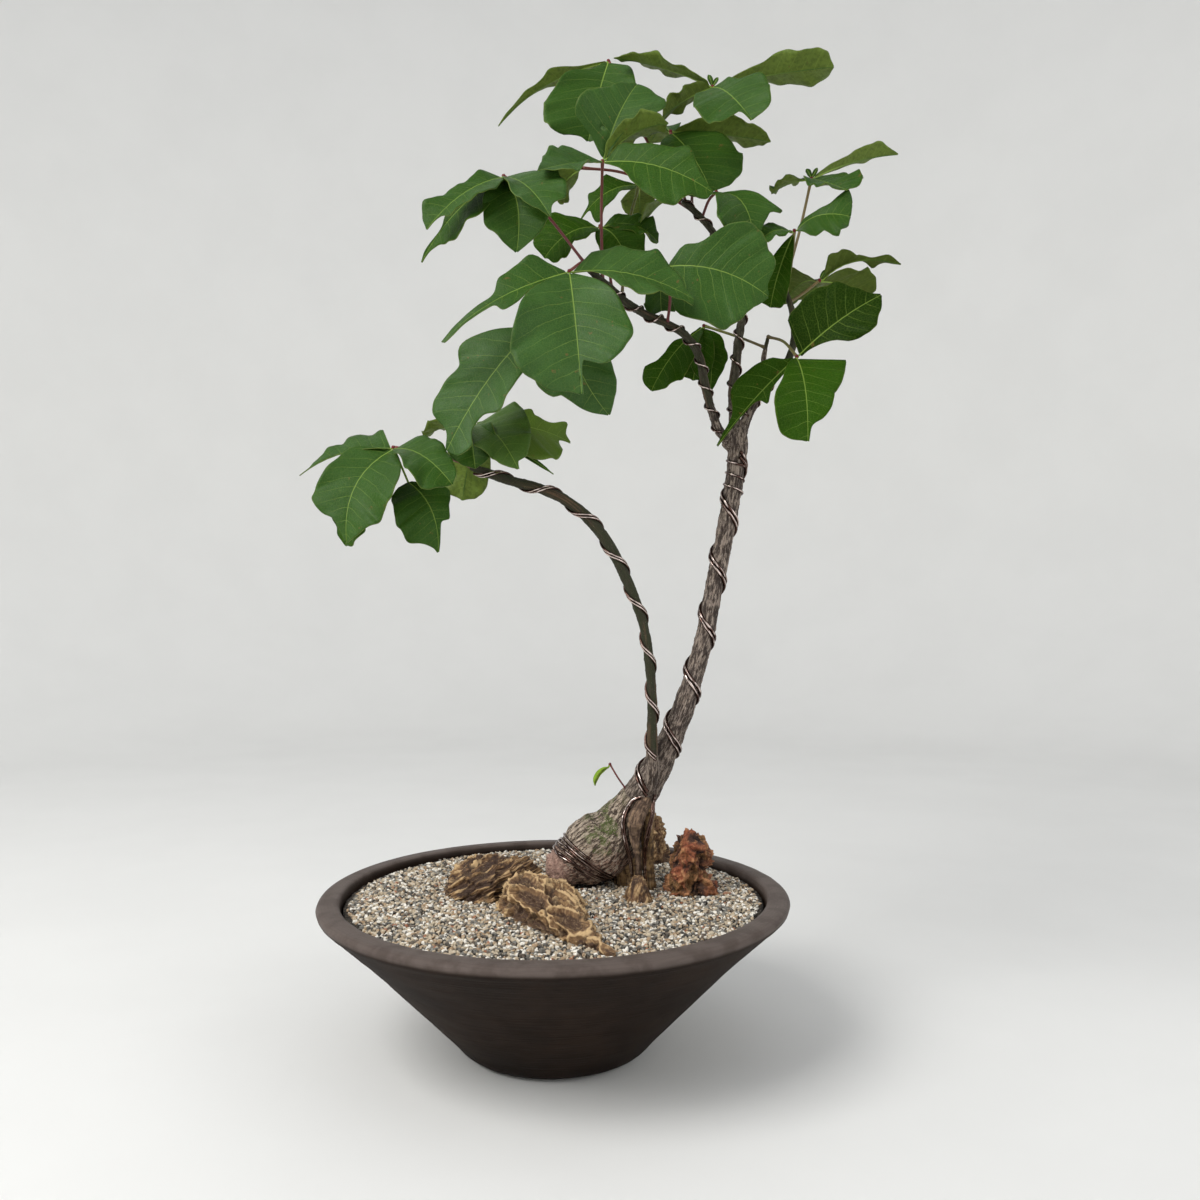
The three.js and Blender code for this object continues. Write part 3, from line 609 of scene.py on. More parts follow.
def bare_wood(voxel):
    """All the limbs as lumpy tubes, blended into one skin."""
    tubes = []
    for limb in LIMBS.values():
        distance = np.linspace(0, limb.length, max(int(limb.length / LIMB_STEP), 8))
        sides = THICK_SIDES if limb.radii.max() > THICK_RADIUS else THIN_SIDES
        spots = np.repeat(distance, sides)
        turns = np.tile(whole_turn(sides), len(distance))
        radius = limb.at(limb.radii, spots)
        shape = limb.around(spots, turns, radius)
        swell = 0.05 * grain(shape, 14, 2, 3.0) + 0.02 * np.sin(spots / 4.3 + turns)
        rings = limb.around(spots, turns, radius * (1 + swell)).reshape(len(distance), sides, 3)
        tubes.append(tube(rings))
    piece = mesh_piece("tree_wood_skin", *joined(tubes))
    even_skin(piece, voxel)
    relax = piece.modifiers.new("relax", "SMOOTH")
    relax.factor = 0.5
    relax.iterations = 6
    return settle(piece)


def nearest_limb(points):
    """For each point, which limb it lies on, and its place across, beside and along that limb."""
    limbs = list(LIMBS.values())
    best = np.full(len(points), np.inf)
    which = np.zeros(len(points), int)
    where = np.zeros(len(points), int)
    for i, limb in enumerate(limbs):
        for k in range(0, len(limb.line), 4):
            away = np.linalg.norm(points - limb.line[k], axis=1) - limb.radii[k]
            closer = away < best
            best[closer], which[closer], where[closer] = away[closer], i, k
    spot = np.zeros((len(points), 3))
    for i, limb in enumerate(limbs):
        mine = which == i
        k = where[mine]
        off = points[mine] - limb.line[k]
        spot[mine] = np.stack([
            np.einsum("ij,ij->i", off, limb.front[k]), np.einsum("ij,ij->i", off, limb.side[k]),
            limb.run[k] + np.einsum("ij,ij->i", off, limb.along[k])], axis=1)
    return which, spot


# The bare roots, and how yellow each is.
ROOTS = {"front_root": 0.6, "back_root": 1.0, "taproot": 0.9}


def carve_bark(piece):
    """Presses cracks, wrinkles and scars into the wood and keeps what the bark's colour needs."""
    points, outward = surface(piece)
    which, spot = nearest_limb(points)
    names = list(LIMBS)
    age = np.maximum(
        np.array([AGE[n] for n in names])[which], 0.8 * smooth_step(spot[:, 2], YOUNG_FROM, OLD_TO))
    stem = np.array([n == "caudex" for n in names])[which] * 1.0
    root = np.array([ROOTS.get(n, 0) for n in names])[which]
    flow = spot * np.array([1, 1, 0.2]) + which[:, None] * 9.1
    net = spot * np.array([1, 1, 0.45])
    cracks = ridges(flow, 2.6, 4) * (1 - stem) + ridges(net, 3.0, 3) * stem
    wrinkles = grain(spot * np.array([0.3, 0.3, 1.2]), 3.2, 3, 5.0)
    lumps = grain(points, 11, 3, 2.0)
    scars = np.clip(grain(points, 5, 2, 8.0) - 0.35, 0, 1)
    knob = stem * smooth_step(spot[:, 2], 26, 12)
    rings = np.sin(spot[:, 2] * 1.1 + 2.5 * grain(points, 12, 2, 3.0))
    # How deep each kind of mark goes, in millimetres.
    old = np.clip((age - 0.3) / 0.6, 0, 1)
    depth = old * (0.8 * (0.5 - cracks) + 0.5 * lumps) + (1 - old) * (0.25 * lumps - 0.2 * cracks)
    depth += (0.16 + 0.5 * (root > 0)) * wrinkles + 0.7 * scars + 0.9 * knob * rings
    move_points(piece, points + outward * depth[:, None])
    bark, region = np.column_stack([age, cracks, wrinkles]), np.column_stack([stem, root, knob])
    return mark(piece, bark=bark, region=region, limb=spot)


def bark_finish(wood):
    """Grey fissured bark on the trunk, green and tan stripes on the branches, moss on the stem base."""

    def paint(g):
        place = g.place()
        spot = g.kept("limb")
        age, crack, wrinkle = g.parts(g.kept("bark"))
        stem, root, knob = g.parts(g.kept("region"))
        across, _, high = g.parts(place)
        mottle = g.noise(place, 0.1, 4)
        speck = g.noise(place, 1.3, 3)
        fissure = g.noise(g.scaled(spot, (1, 1, 0.18)), 0.85, 5, 0.68)
        flake = g.noise(g.scaled(spot, (1, 1, 0.3)), 1.5, 3, 0.7)
        strand = g.noise(g.scaled(spot, (1, 1, 0.25)), 0.42, 4, 0.6)
        stripe = g.noise(g.scaled(spot, (1, 1, 0.05)), 0.17, 3)
        stray = g.node("ShaderNodeTexNoise", Vector=place, Scale=0.3).outputs["Color"]
        swayed = g.vector("ADD", g.scaled(spot, (1, 1, 0.3)), g.scaled(stray, (5, 5, 5)))
        cells = g.cells(swayed, 0.42, "DISTANCE_TO_EDGE")
        old = g.coats(
            wood.grey,
            (mottle, 0.38, 0.66, 1, tint(142, 126, 112)),
            (fissure, 0.52, 0.59, 0.8, tint(176, 162, 150)),
            (fissure, 0.5, 0.43, 0.95, wood.brown),
            (flake, 0.53, 0.62, 0.7, tint(58, 47, 41)),
            (strand, 0.53, 0.6, 0.6, tint(176, 160, 146)),
            (strand, 0.49, 0.43, 0.8, tint(52, 41, 36)),
            (crack, 0.72, 0.97, 0.65, tint(56, 44, 38)))
        young = g.coats(
            wood.green,
            (stripe, 0.54, 0.64, 1, tint(96, 74, 52)),
            (fissure, 0.48, 0.38, 0.8, wood.dark),
            (flake, 0.66, 0.72, 0.8, tint(168, 160, 128)),
            (crack, 0.8, 1.0, 0.6, tint(40, 31, 26)))
        base = g.coats(
            tint(190, 146, 126),
            (high, 156, 186, 1, tint(178, 160, 138)),
            (flake, 0.5, 0.6, 0.7, tint(206, 191, 172)),
            (fissure, 0.5, 0.43, 0.95, tint(62, 46, 38)),
            (strand, 0.52, 0.58, 0.8, tint(218, 200, 180)),
            (strand, 0.49, 0.43, 0.85, tint(62, 46, 38)),
            (cells, 0.1, 0.0, 0.6, tint(62, 48, 40)),
            (knob, 0.0, 1.0, 0.8, wood.blush))
        base = g.mix(g.times(knob, g.ease(fissure, 0.46, 0.4, 0, 0.8)), base, tint(96, 66, 56))
        bare = g.coats(
            wood.root,
            (root, 0.65, 0.95, 1, tint(146, 116, 74)),
            (fissure, 0.52, 0.66, 0.6, tint(158, 130, 102)),
            (strand, 0.52, 0.6, 0.6, tint(176, 146, 112)),
            (strand, 0.49, 0.42, 0.8, tint(64, 47, 35)),
            (wrinkle, 0.1, -0.4, 0.6, tint(58, 42, 32)))
        bark = g.coats(young, (age, 0.35, 0.85, 1, old))
        bark = g.mix(g.times(stem, g.ease(across, 84, 62)), bark, base)
        film = g.times(stem, g.ease(g.noise(place, 0.06, 5, 0.7), 0.5, 0.58), g.ease(flake, 0.42, 0.52),
                       g.ease(across, 20, 34), g.ease(across, 68, 54), g.ease(high, 166, 180, 0, 0.9))
        bark = g.coats(g.mix(film, bark, wood.moss), (root, 0.0, 0.5, 1, bare))
        height = g.math("ADD", g.times(fissure, 1.6), g.math("ADD", g.noise(place, 1.9, 4), flake))
        height = g.math("ADD", height, g.times(g.ease(cells, 0.02, 0.2), stem))
        return {"Base Color": bark, "Roughness": g.ease(speck, 0.3, 0.7, 0.72, 0.92),
                "Normal": g.bump(height, 0.7)}

    return finish("bark", paint)


class BONSAI_OT_wood(bpy.types.Operator):
    """The stem base, roots, trunk and branches, grown into one piece under cracked bark"""

    bl_idname = "bonsai.wood"
    bl_label = "Wood"

    def execute(self, context):
        wood = context.scene.bonsai_wood
        piece = carve_bark(bare_wood(wood.voxel))
        dress(piece, bark_finish(wood), "bark", "tree_wood")
        return {"FINISHED"}


# Wires


# How far a wire stays clear of the bark and a stone of the soil.
CLEARANCE = 0.35
# The points in each turn of a wire and of the belt, and the sides of a wire's round section.
COIL_POINTS = 20
BELT_POINTS = 40
WIRE_SIDES = 10

# Each wound wire: its limb, where it starts and ends along it, the rise of each turn and its first angle.
COILS = {
    "wire_trunk_upper": ("trunk", 33, 352, 53, 0.2),
    "wire_trunk_lower": ("trunk", 28.5, 347.5, 53, 0.2),
    "wire_left_upper": ("left_branch", 38, 376, 46, 0.4),
    "wire_left_lower": ("left_branch", 34.5, 372.5, 46, 0.4),
    "wire_upper_left": ("upper_left_branch", 16, 190, 21, 0),
    "wire_middle": ("middle_branch", 22, 238, 24, 0),
    "wire_right": ("right_shoot", 20, 60, 20, 0),
}
# The three close turns of thin wire at the top of the trunk, in the same terms.
NECK_COIL = ("trunk", 316, 348, 11, 2.0)

# The belt of loose turns round the stem base: its middle, its slant, its turns and their spacing.
BELT_MIDDLE = 36
BELT_SLANT = 13
BELT_TURNS = 6
BELT_SPACING = 3.1

# The wire ends that run down to the soil on each side of the front root: their points, and how far to the
# side a second wire bows out beside each.
ANCHORS = {
    "wire_anchor_left": ([
        (78.5, 6.8, 222), (72, 7.8, 219), (65.5, 7, 209), (63, 4, 200), (63.5, 3, 190), (66, 0.5, 178),
        (69, 1.5, 165), (70.5, 3, 150), (71, 4, 139.5)], -2.2),
    "wire_anchor_right": ([
        (90.8, 11.2, 223), (88.5, 4.8, 215), (87.5, 1, 207), (84.5, -1, 196), (82.5, -1, 186),
        (80.5, 0, 175), (80.5, 1.5, 160), (81.5, 3, 148), (82, 4.5, 139.5)], 2.2),
}


def coil(limb_name, start, end, pitch, first_angle, radius):
    """A wire's centre line, wound up a limb between two distances along it."""
    limb = LIMBS[limb_name]
    distance = np.linspace(start, end, int((end - start) / pitch * COIL_POINTS) + 1)
    angle = first_angle - 2 * math.pi * (distance - start) / pitch
    sway = 0.25 * np.sin(distance / 9.0)
    reach = limb.at(limb.radii, distance) + radius + 2 * CLEARANCE
    return limb.around(distance, angle + sway / 4, reach)


def belt(limb, radius):
    """The slanted belt of wire round the stem base, its turns spread in front and close together below."""
    turn = np.linspace(-BELT_TURNS / 2, BELT_TURNS / 2, BELT_TURNS * BELT_POINTS + 1)
    angle = 2 * math.pi * turn
    spread = BELT_SPACING * (0.62 + 0.38 * np.cos(angle + 0.5))
    stray = 0.7 * np.sin(angle * 0.37 + 1) + 0.35 * np.sin(angle * 2.3)
    distance = BELT_MIDDLE + turn * spread + BELT_SLANT * np.sin(angle) + stray
    return limb.around(distance, angle, limb.at(limb.radii, distance) + radius)


def hugging(line, skin, radius):
    """A wire's line laid on the bark all along."""
    laid = []
    for point in line:
        spot, outward, _, _ = skin.find_nearest(Vector(point * MM))
        laid.append(np.array(spot) / MM + np.array(outward) * (radius + CLEARANCE))
    laid = np.array(laid)
    for _ in range(3):
        laid[1:-1] = (laid[:-2] + 2 * laid[1:-1] + laid[2:]) / 4
    return laid


def wire_tree(material):
    """A node tree that turns a line into round wire."""
    g = shape_tree("round_wire", "Wire", Line="Geometry", Radius="Float", Sides="Int")
    given = g.node("NodeGroupInput").outputs
    section = g.node("GeometryNodeCurvePrimitiveCircle", Resolution=given["Sides"], Radius=given["Radius"])
    skin = g.node("GeometryNodeCurveToMesh", Curve=given["Line"], Profile_Curve=section.outputs[0])
    skin.inputs["Fill Caps"].default_value = True
    return end_tree(g, skin.outputs[0], material)


def wire_piece(name, line, radius, tree):
    """A length of wire along a line, as a plain mesh."""
    curve = bpy.data.curves.new(name, "CURVE")
    curve.dimensions = "3D"
    spline = curve.splines.new("POLY")
    spline.points.add(len(line) - 1)
    spline.points.foreach_set("co", np.hstack([line * MM, np.ones((len(line), 1))]).ravel())
    path = placed(name + "_path", curve)
    grow(path, tree, Radius=radius, Sides=WIRE_SIDES)
    mesh = real_mesh(path)
    bpy.data.objects.remove(path)
    mesh.name = name
    mesh.shade_smooth()
    return placed(name, mesh)


def mark_highlight_side(piece, skin):
    """Marks how far each spot of a wire faces away from the bark, where its finish paints a highlight."""
    points, outward = surface(piece)
    away = np.array([skin.find_nearest(Vector(p * MM))[1] for p in points])
    layer = piece.data.attributes.new("painted_highlight", "FLOAT", "POINT")
    layer.data.foreach_set("value", np.einsum("ij,ij->i", outward, away).astype(np.float32))
    return piece


def wire_finish(wires):
    """Dark brown anodised metal, with a painted highlight along the side that faces away from the bark."""

    def paint(g):
        place = g.place()
        smear = g.noise(place, 0.3, 3)
        crest = g.node("ShaderNodeAttribute", {"attribute_name": "painted_highlight"}).outputs["Fac"]
        # The near-white coat on the side away from the bark is a painted highlight.
        shade = g.coats(
            wires.metal,
            (g.noise(place, 1.1, 2), 0.45, 0.7, 1, tint(60, 43, 38)),
            (crest, 0.81, 0.97, 0.95, tint(222, 206, 198)))
        return {"Base Color": shade, "Roughness": g.ease(smear, 0.3, 0.7, 0.24, 0.14)}

    return finish("anodised_wire", paint, Metallic=1.0)


class BONSAI_OT_wires(bpy.types.Operator):
    """The training wires that wind up the trunk and branches"""

    bl_idname = "bonsai.wires"
    bl_label = "Wires"

    def execute(self, context):
        wires = context.scene.bonsai_wires
        tree = wire_tree(wire_finish(wires))
        thick, thin = wires.trunk / MM, wires.branch / MM
        bark = bpy.data.objects["tree_wood_skin"]
        skin = BVHTree.FromObject(bark, context.evaluated_depsgraph_get())

        def lay(name, line, radius, *nodes):
            """Makes a wire along a line, with the node that it stands for, if any."""
            dress(mark_highlight_side(wire_piece(name, line, radius * MM, tree), skin), None, "wire", *nodes)

        for name, turns in COILS.items():
            radius = thick if name.startswith("wire_trunk") else thin
            lay(name + "_round", hugging(coil(*turns, radius), skin, radius), radius, name)
        lay("wire_caudex_round", hugging(belt(LIMBS["caudex"], thin), skin, thin), thin, "wire_caudex")
        lay("wire_neck_round", hugging(coil(*NECK_COIL, thin), skin, thin), thin)
        for name, (points, beside) in ANCHORS.items():
            line = smooth_line(np.array(points, float), 8)
            lay(name + "_round", line, thin, name)
            bow = np.sin(np.linspace(0.4, math.pi, len(line)))[:, None]
            lay(name + "_second", line + np.array([beside, 1.2, 0]) * bow, thin)
        return {"FINISHED"}


# Leaves


# The radii of a plain leaf's hub and stalk, and how many pairs of side veins a blade has.
HUB_RADIUS = 1.8
STALK_RADIUS = 1.3
VEIN_PAIRS = 9
# How finely a leaf's parts are made, and how far apart the seeds of two leaves are.
RIB_SIDES = 7
KNUCKLE_SIDES = 12
KNUCKLE_RINGS = 9
STALK_SIDES = 12
STALK_RINGS = 48
SEEDS_PER_LEAF = 10
# Waves along a blade, each with its turns from hub to tip: those of its margin as shares of its width, and
# those of its surface as heights.
MARGIN_WAVES = [(0.02, 2.3), (0.012, 4.1), (0.004, VEIN_PAIRS)]
RIPPLES = [(0.8, 1.6), (0.6, 3.6), (0.16, 7.9)]

# How a plain blade lies: how far it arches and bows, its twist and fold in radians, how much it waves, how
# far from the hub it starts, where it is widest, how much painted shade darkens it (below 0, painted light
# that makes it paler), its holes and its margins' drawn points.
PLAIN_BLADE = {
    "arch": 10, "bow": 0, "twist": 0, "fold": 0.25, "wave": 2, "neck": 3, "widest": 0.55, "shade": 0.5,
    "holes": [], "left": [], "right": [],
}


def sheet(tip, width, face, **drawn):
    """One blade of a leaf: its tip, its width, the way it faces and how it differs from a plain one."""
    return {**PLAIN_BLADE, "tip": tip, "width": width, "face": face, **drawn}


# Each leaf: the hub where its blades meet, the limb point and bend of its stalk, and its blades. A margin
# is a few points of how far along and how wide, left or right of the midrib as seen from the blade's face.
LEAVES = {
    "top_left": {
        "hub": (43, -15, 794), "from": (43, -36, 680), "bend": (42, -27, 741), "blades": [
            sheet((-10, -85, 758), 62, (-0.1, -0.8, 0.6), arch=2, shade=0.3,
                  left=[(0.15, 0.4), (0.3, 0.6), (0.6, 0.95)],
                  right=[(0.04, 0.8), (0.15, 0.9), (0.5, 0.65), (0.9, 0.15)]),
            sheet((74, -8, 866), 78, (0.1, -1, 0.1), arch=6, bow=-3, shade=0.35, holes=[(7, 9, 2.4)],
                  left=[(0.1, 0.5), (0.15, 1.0), (0.45, 0.7), (0.8, 0.3)],
                  right=[(0.2, 0.2), (0.35, 0.4), (0.5, 0.9), (0.7, 0.7), (0.9, 0.3)]),
            sheet((138, -45, 755), 68, (0.05, -0.95, 0.35), arch=8, bow=-4, shade=0.6,
                  left=[(0.05, 0.5), (0.3, 0.6), (0.5, 0.75), (0.8, 0.25)],
                  right=[(0.05, 0.15), (0.2, 0.6), (0.25, 0.95), (0.45, 1.3), (0.6, 1.1), (0.8, 0.55),
                         (0.92, 0.35)]),
            sheet((101, -22, 825), 34, (0, 0.3, 0.95))]},
    "far_left_high": {
        "hub": (-42, -50, 767), "from": (30, -40, 692), "bend": (-10, -50, 739), "blades": [
            sheet((0, -100, 715), 66, (0.2, -0.8, 0.55), arch=8, shade=0.3,
                  left=[(0.1, 0.8), (0.3, 0.9), (0.65, 0.7), (0.85, 0.2)],
                  right=[(0.2, 0.4), (0.4, 0.6), (0.65, 0.55)]),
            sheet((-29, -75, 694), 68, (0, -0.95, 0.2), bow=-7, shade=0.5,
                  left=[(0.25, 0.35), (0.5, 0.75), (0.65, 0.7), (0.8, 0.45)],
                  right=[(0.1, 0.35), (0.25, 0.85), (0.4, 0.9), (0.7, 0.55)]),
            sheet((-101, -95, 706), 44, (-0.3, -0.85, 0.45), arch=8, shade=0.5,
                  left=[(0.1, 0.8), (0.25, 1.35), (0.35, 1.5), (0.55, 0.7), (0.7, 0.65), (0.83, 0.15)],
                  right=[(0.05, 0.6), (0.25, 0.55), (0.6, 0.6), (0.7, 0.8), (0.85, 0.5)]),
            sheet((-111, -60, 690), 46, (-0.45, -0.9, 0.3), shade=0.6,
                  left=[(0.15, 0.8), (0.3, 1.45), (0.5, 1.25), (0.65, 0.9), (0.8, 0.3)],
                  right=[(0.2, 0.3), (0.5, 0.3), (0.7, 0.05), (0.9, 0.1)])]},
    "crown_left": {
        "hub": (49, 60, 921), "from": (116, 22, 773), "bend": (84, 64, 850), "blades": [
            sheet((30, 22, 828), 96, (0, -0.9, 0.45), arch=6, shade=0.55,
                  left=[(0.03, 0.45), (0.2, 0.7), (0.4, 0.9), (0.6, 0.8), (0.8, 0.5)],
                  right=[(0.15, 0.3), (0.2, 0.65), (0.4, 0.95), (0.55, 1.0), (0.75, 0.8), (0.88, 0.6),
                         (0.92, 0.2)]),
            sheet((-55, 40, 850), 42, (-0.1, 0.25, 0.95), arch=12, shade=0.6,
                  left=[(0.15, 0.15), (0.35, 0.6), (0.55, 0.3), (0.7, 0.3)],
                  right=[(0.1, 0.55), (0.2, 0.75), (0.4, 0.4), (0.6, 0.1)])]},
    "crown_right": {
        "hub": (146, 30, 882), "from": (125.5, 20, 764), "bend": (133, 64, 836), "blades": [
            sheet((54, 28, 908), 26, (0.1, 0, 1), arch=4, shade=0.4),
            sheet((98, 10, 844), 28, (-0.6, 0.3, 0.7), arch=4, shade=0.8),
            sheet((172, -45, 818), 78, (-0.34, -0.67, 0.65), arch=8, shade=0.5,
                  left=[(0.1, 0.3), (0.25, 0.4), (0.4, 0.8), (0.7, 0.7), (0.9, 0.45)],
                  right=[(0.12, 0.35), (0.3, 0.85), (0.5, 1.0), (0.7, 0.85), (0.8, 0.6), (0.84, 0.1)]),
            sheet((255, 10, 891), 40, (0, 0.2, 1), arch=3, widest=0.75, twist=-0.4, shade=0.4),
            sheet((142, 28, 892), 5, (0, -1, 0.1), arch=1, wave=0, neck=1),
            sheet((151, 29, 890), 4, (0, -1, 0.1), arch=1, wave=0, neck=1)]},
    "top_middle": {
        "hub": (107, 32, 841), "from": (121, 21, 768), "bend": (112, 30, 806), "blades": [
            sheet((143, 16, 779), 76, (0.3, -0.95, 0.3), arch=6, shade=0.6,
                  left=[(0.05, 0.6), (0.2, 1.05), (0.4, 1.1), (0.65, 0.9), (0.9, 0.4)],
                  right=[(0.1, 0.7), (0.3, 1.15), (0.6, 1.1), (0.9, 0.4)]),
            sheet((201, 35, 833), 36, (0.1, 0.3, 0.93), arch=3, shade=0.7),
            sheet((90, 82, 851), 40, (0, 0.3, 0.95))]},
    "middle": {
        "hub": (147, 5, 774), "from": (135, 19, 755), "bend": (141, 10, 769), "blades": [
            sheet((177, -28, 712), 70, (0.3, -0.85, 0.5), arch=18, shade=0.5,
                  left=[(0.15, 0.3), (0.3, 0.6), (0.4, 1.0), (0.5, 0.85), (0.53, 0.6), (0.7, 0.35)],
                  right=[(0.2, 0.8), (0.4, 1.2), (0.6, 1.0), (0.8, 0.3)]),
            sheet((77, -8, 742), 44, (-0.2, 0, 1), shade=0.5)]},
    "front_right_high": {
        "hub": (97, -40, 693), "from": (101, -15, 649), "bend": (102, -35, 668), "blades": [
            sheet((185, -52, 663), 92, (0.05, -0.98, 0.12), arch=8, bow=-6, shade=0.4,
                  left=[(0.05, 0.4), (0.15, 0.45), (0.25, 0.85), (0.35, 1.0), (0.65, 0.75), (0.8, 0.55),
                        (0.92, 0.15)],
                  right=[(0.05, 0.6), (0.15, 1.2), (0.3, 1.25), (0.5, 0.95), (0.75, 0.5)]),
            sheet((96, -8, 662), 36, (0.2, -0.9, 0.3), arch=-4)]},
    "front": {
        "hub": (15, -70, 679), "from": (34, -39, 688), "bend": (27, -56, 691), "blades": [
            sheet((26, -112, 568), 100, (0.05, -0.93, 0.25), shade=0.1,
                  left=[(0.1, 0.5), (0.25, 0.85), (0.4, 0.9), (0.65, 0.6), (0.73, 0.4), (0.76, 0.07)],
                  right=[(0.05, 0.35), (0.2, 0.9), (0.4, 1.13), (0.6, 0.98), (0.85, 0.57), (0.94, 0.2)]),
            sheet((118, -90, 650), 62, (0, -0.72, 0.69), shade=0.4,
                  left=[(0.03, 0.85), (0.2, 1.0), (0.5, 0.85), (0.75, 0.5), (0.9, 0.15)],
                  right=[(0.15, 0.1), (0.28, 0.5), (0.35, 1.1), (0.55, 1.1), (0.75, 0.6), (0.95, 0.4)]),
            sheet((-88, -98, 613), 58, (-0.25, -0.95, 0.3), twist=0.5, shade=0.4,
                  left=[(0.2, 0.1), (0.35, 0.65), (0.45, 0.9), (0.6, 0.2), (0.75, 0.15), (0.93, 0.35)],
                  right=[(0.05, 0.4), (0.12, 0.8), (0.3, 0.7), (0.55, 0.2), (0.75, 0.15)]),
            sheet((48, -60, 560), 70, (0, -1, 0.1), arch=4, bow=15, shade=0.1,
                  left=[(0.3, 0.75), (0.55, 0.8), (0.75, 0.55), (0.95, 0.15)],
                  right=[(0.2, 0.85), (0.42, 1.15), (0.62, 0.95), (0.66, 0.75), (0.85, 0.45)])]},
    "behind_front": {
        "hub": (41, 8, 744), "from": (51, -33, 675), "bend": (47, -4, 716), "blades": [
            sheet((-9, -8, 710), 54, (-0.1, -0.75, 0.6), shade=0.9),
            sheet((66, -5, 707), 46, (0.1, -0.9, 0.3), shade=0.8),
            sheet((94, 10, 730), 34, (0.1, -0.7, 0.6), shade=0.7)]},
    "back_small": {
        "hub": (78, 45, 797), "from": (60, -31, 667), "bend": (66, 24, 744), "stalk": "yellow", "blades": [
            sheet((23, 35, 760), 52, (-0.3, -0.8, 0.55), shade=0.8,
                  left=[(0.2, 0.7), (0.6, 1.1), (0.72, 0.9), (0.85, 0.1)],
                  right=[(0.12, 0.3), (0.18, 0.8), (0.4, 0.4), (0.55, 0.5), (0.8, 0.1)]),
            sheet((81, 95, 777), 38, (0, 0.56, 0.83), shade=0.8,
                  left=[(0.2, 0.35), (0.4, 1.0), (0.6, 0.95), (0.8, 0.55)],
                  right=[(0.3, 0.3), (0.45, 0.8), (0.7, 0.65), (0.9, 0.25)])]},
    "far_left_low": {
        "hub": (-138, -45, 534), "from": (-73, -25, 520), "bend": (-107, -40, 531), "blades": [
            sheet((-168, -90, 450), 78, (-0.2, -0.9, 0.4), bow=10, shade=0.45,
                  left=[(0.1, 0.65), (0.22, 1.1), (0.35, 1.15), (0.6, 0.85), (0.9, 0.25)],
                  right=[(0.05, 0.65), (0.3, 0.75), (0.45, 0.85), (0.65, 0.65), (0.8, 0.25)]),
            sheet((-223, -30, 512), 48, (-0.2, -0.45, 0.9), arch=8, shade=0.4,
                  left=[(0.05, 0.3), (0.3, 0.35), (0.5, 0.05)],
                  right=[(0.04, 1.05), (0.2, 1.2), (0.4, 0.75), (0.75, 0.35), (0.88, 0.05)]),
            sheet((-82, -85, 498), 58, (0.3, -0.75, 0.6), shade=0.5,
                  left=[(0.02, 0.6), (0.3, 0.7), (0.8, 0.4)],
                  right=[(0.15, 0.5), (0.3, 0.75), (0.5, 1.1), (0.75, 0.95), (0.92, 0.4)]),
            sheet((-97, -60, 443), 64, (0.3, -0.9, 0.3), neck=34, bow=-6, shade=0.55,
                  left=[(0.12, 0.4), (0.22, 0.7), (0.45, 0.45), (0.6, 0.4), (0.66, 0.15)],
                  right=[(0.03, 0.45), (0.15, 0.9), (0.35, 1.15), (0.6, 0.9), (0.8, 0.42), (0.92, 0.15)]),
            sheet((-184, -25, 450), 46, (-0.3, -0.8, 0.4), shade=0.8)]},
    "left": {
        "hub": (-73, -10, 560), "from": (-68, -25, 518), "bend": (-72, -16, 540), "blades": [
            sheet((-29, -60, 514), 62, (0.2, -0.85, 0.5), arch=14, shade=-0.25,
                  left=[(0.02, 1.1), (0.3, 1.05), (0.6, 0.75), (0.85, 0.4), (0.92, 0.1)],
                  right=[(0.15, 0.5), (0.35, 0.8), (0.48, 0.95), (0.58, 0.7), (0.8, 0.5)]),
            sheet((-66, -55, 515), 44, (-0.1, -0.8, 0.6), shade=0.6),
            sheet((13, 20, 548), 58, (0.1, -0.85, 0.5), shade=-0.45,
                  left=[(0.2, 0.2), (0.4, 0.65), (0.5, 0.45), (0.65, 0.4), (0.82, 0.55), (0.9, 0.2)],
                  right=[(0.15, 0.9), (0.33, 1.45), (0.55, 1.2), (0.7, 0.8), (0.84, 0.15)]),
            sheet((-121, 10, 552), 26, (0, 0.1, 1), arch=4),
            sheet((-86, 15, 494), 44, (0, 0.7, 0.5), shade=0.4),
            sheet((-1, -12, 515), 6, (0, -0.9, 0.3), arch=4, wave=0)]},
    "left_front": {
        "hub": (-14, -60, 636), "from": (39, -37, 684), "bend": (12, -52, 661), "blades": [
            sheet((-87, -78, 527), 78, (-0.3, -0.9, 0.3), fold=0.15, shade=0.2,
                  left=[(0.15, 0.5), (0.45, 0.8), (0.62, 0.45), (0.75, 0.35), (0.8, 0.55), (0.9, 0.45)],
                  right=[(0.1, 0.7), (0.23, 1.05), (0.38, 0.75), (0.55, 0.82), (0.7, 0.7), (0.87, 0.2)])]},
    "centre": {
        "hub": (139, 40, 661), "from": (192, 5, 632), "bend": (170, 30, 648), "stalk": "yellow",
        "blades": [
            sheet((89, 30, 598), 58, (-0.2, -0.85, 0.5), shade=0.9,
                  left=[(0.2, 0.6), (0.45, 0.95), (0.7, 0.7), (0.9, 0.3)],
                  right=[(0.2, 0.05), (0.3, 0.25), (0.6, 0.3), (0.7, 0.6), (0.9, 0.35)]),
            sheet((129, 42, 610), 34, (0, -0.8, 0.5), shade=0.9),
            sheet((145, 44, 599), 46, (0.2, -0.9, 0.3), shade=0.9,
                  left=[(0.1, 0.6), (0.25, 0.7), (0.5, 0.55)],
                  right=[(0.2, 0.6), (0.28, 1.0), (0.45, 0.9), (0.8, 0.3)])]},
    "right_low": {
        "hub": (214, -30, 616), "from": (194, 5, 642), "bend": (205, -14, 633), "stalk": "yellow",
        "blades": [
            sheet((145, -22, 539), 58, (-0.1, -0.95, 0.3), shade=1.2,
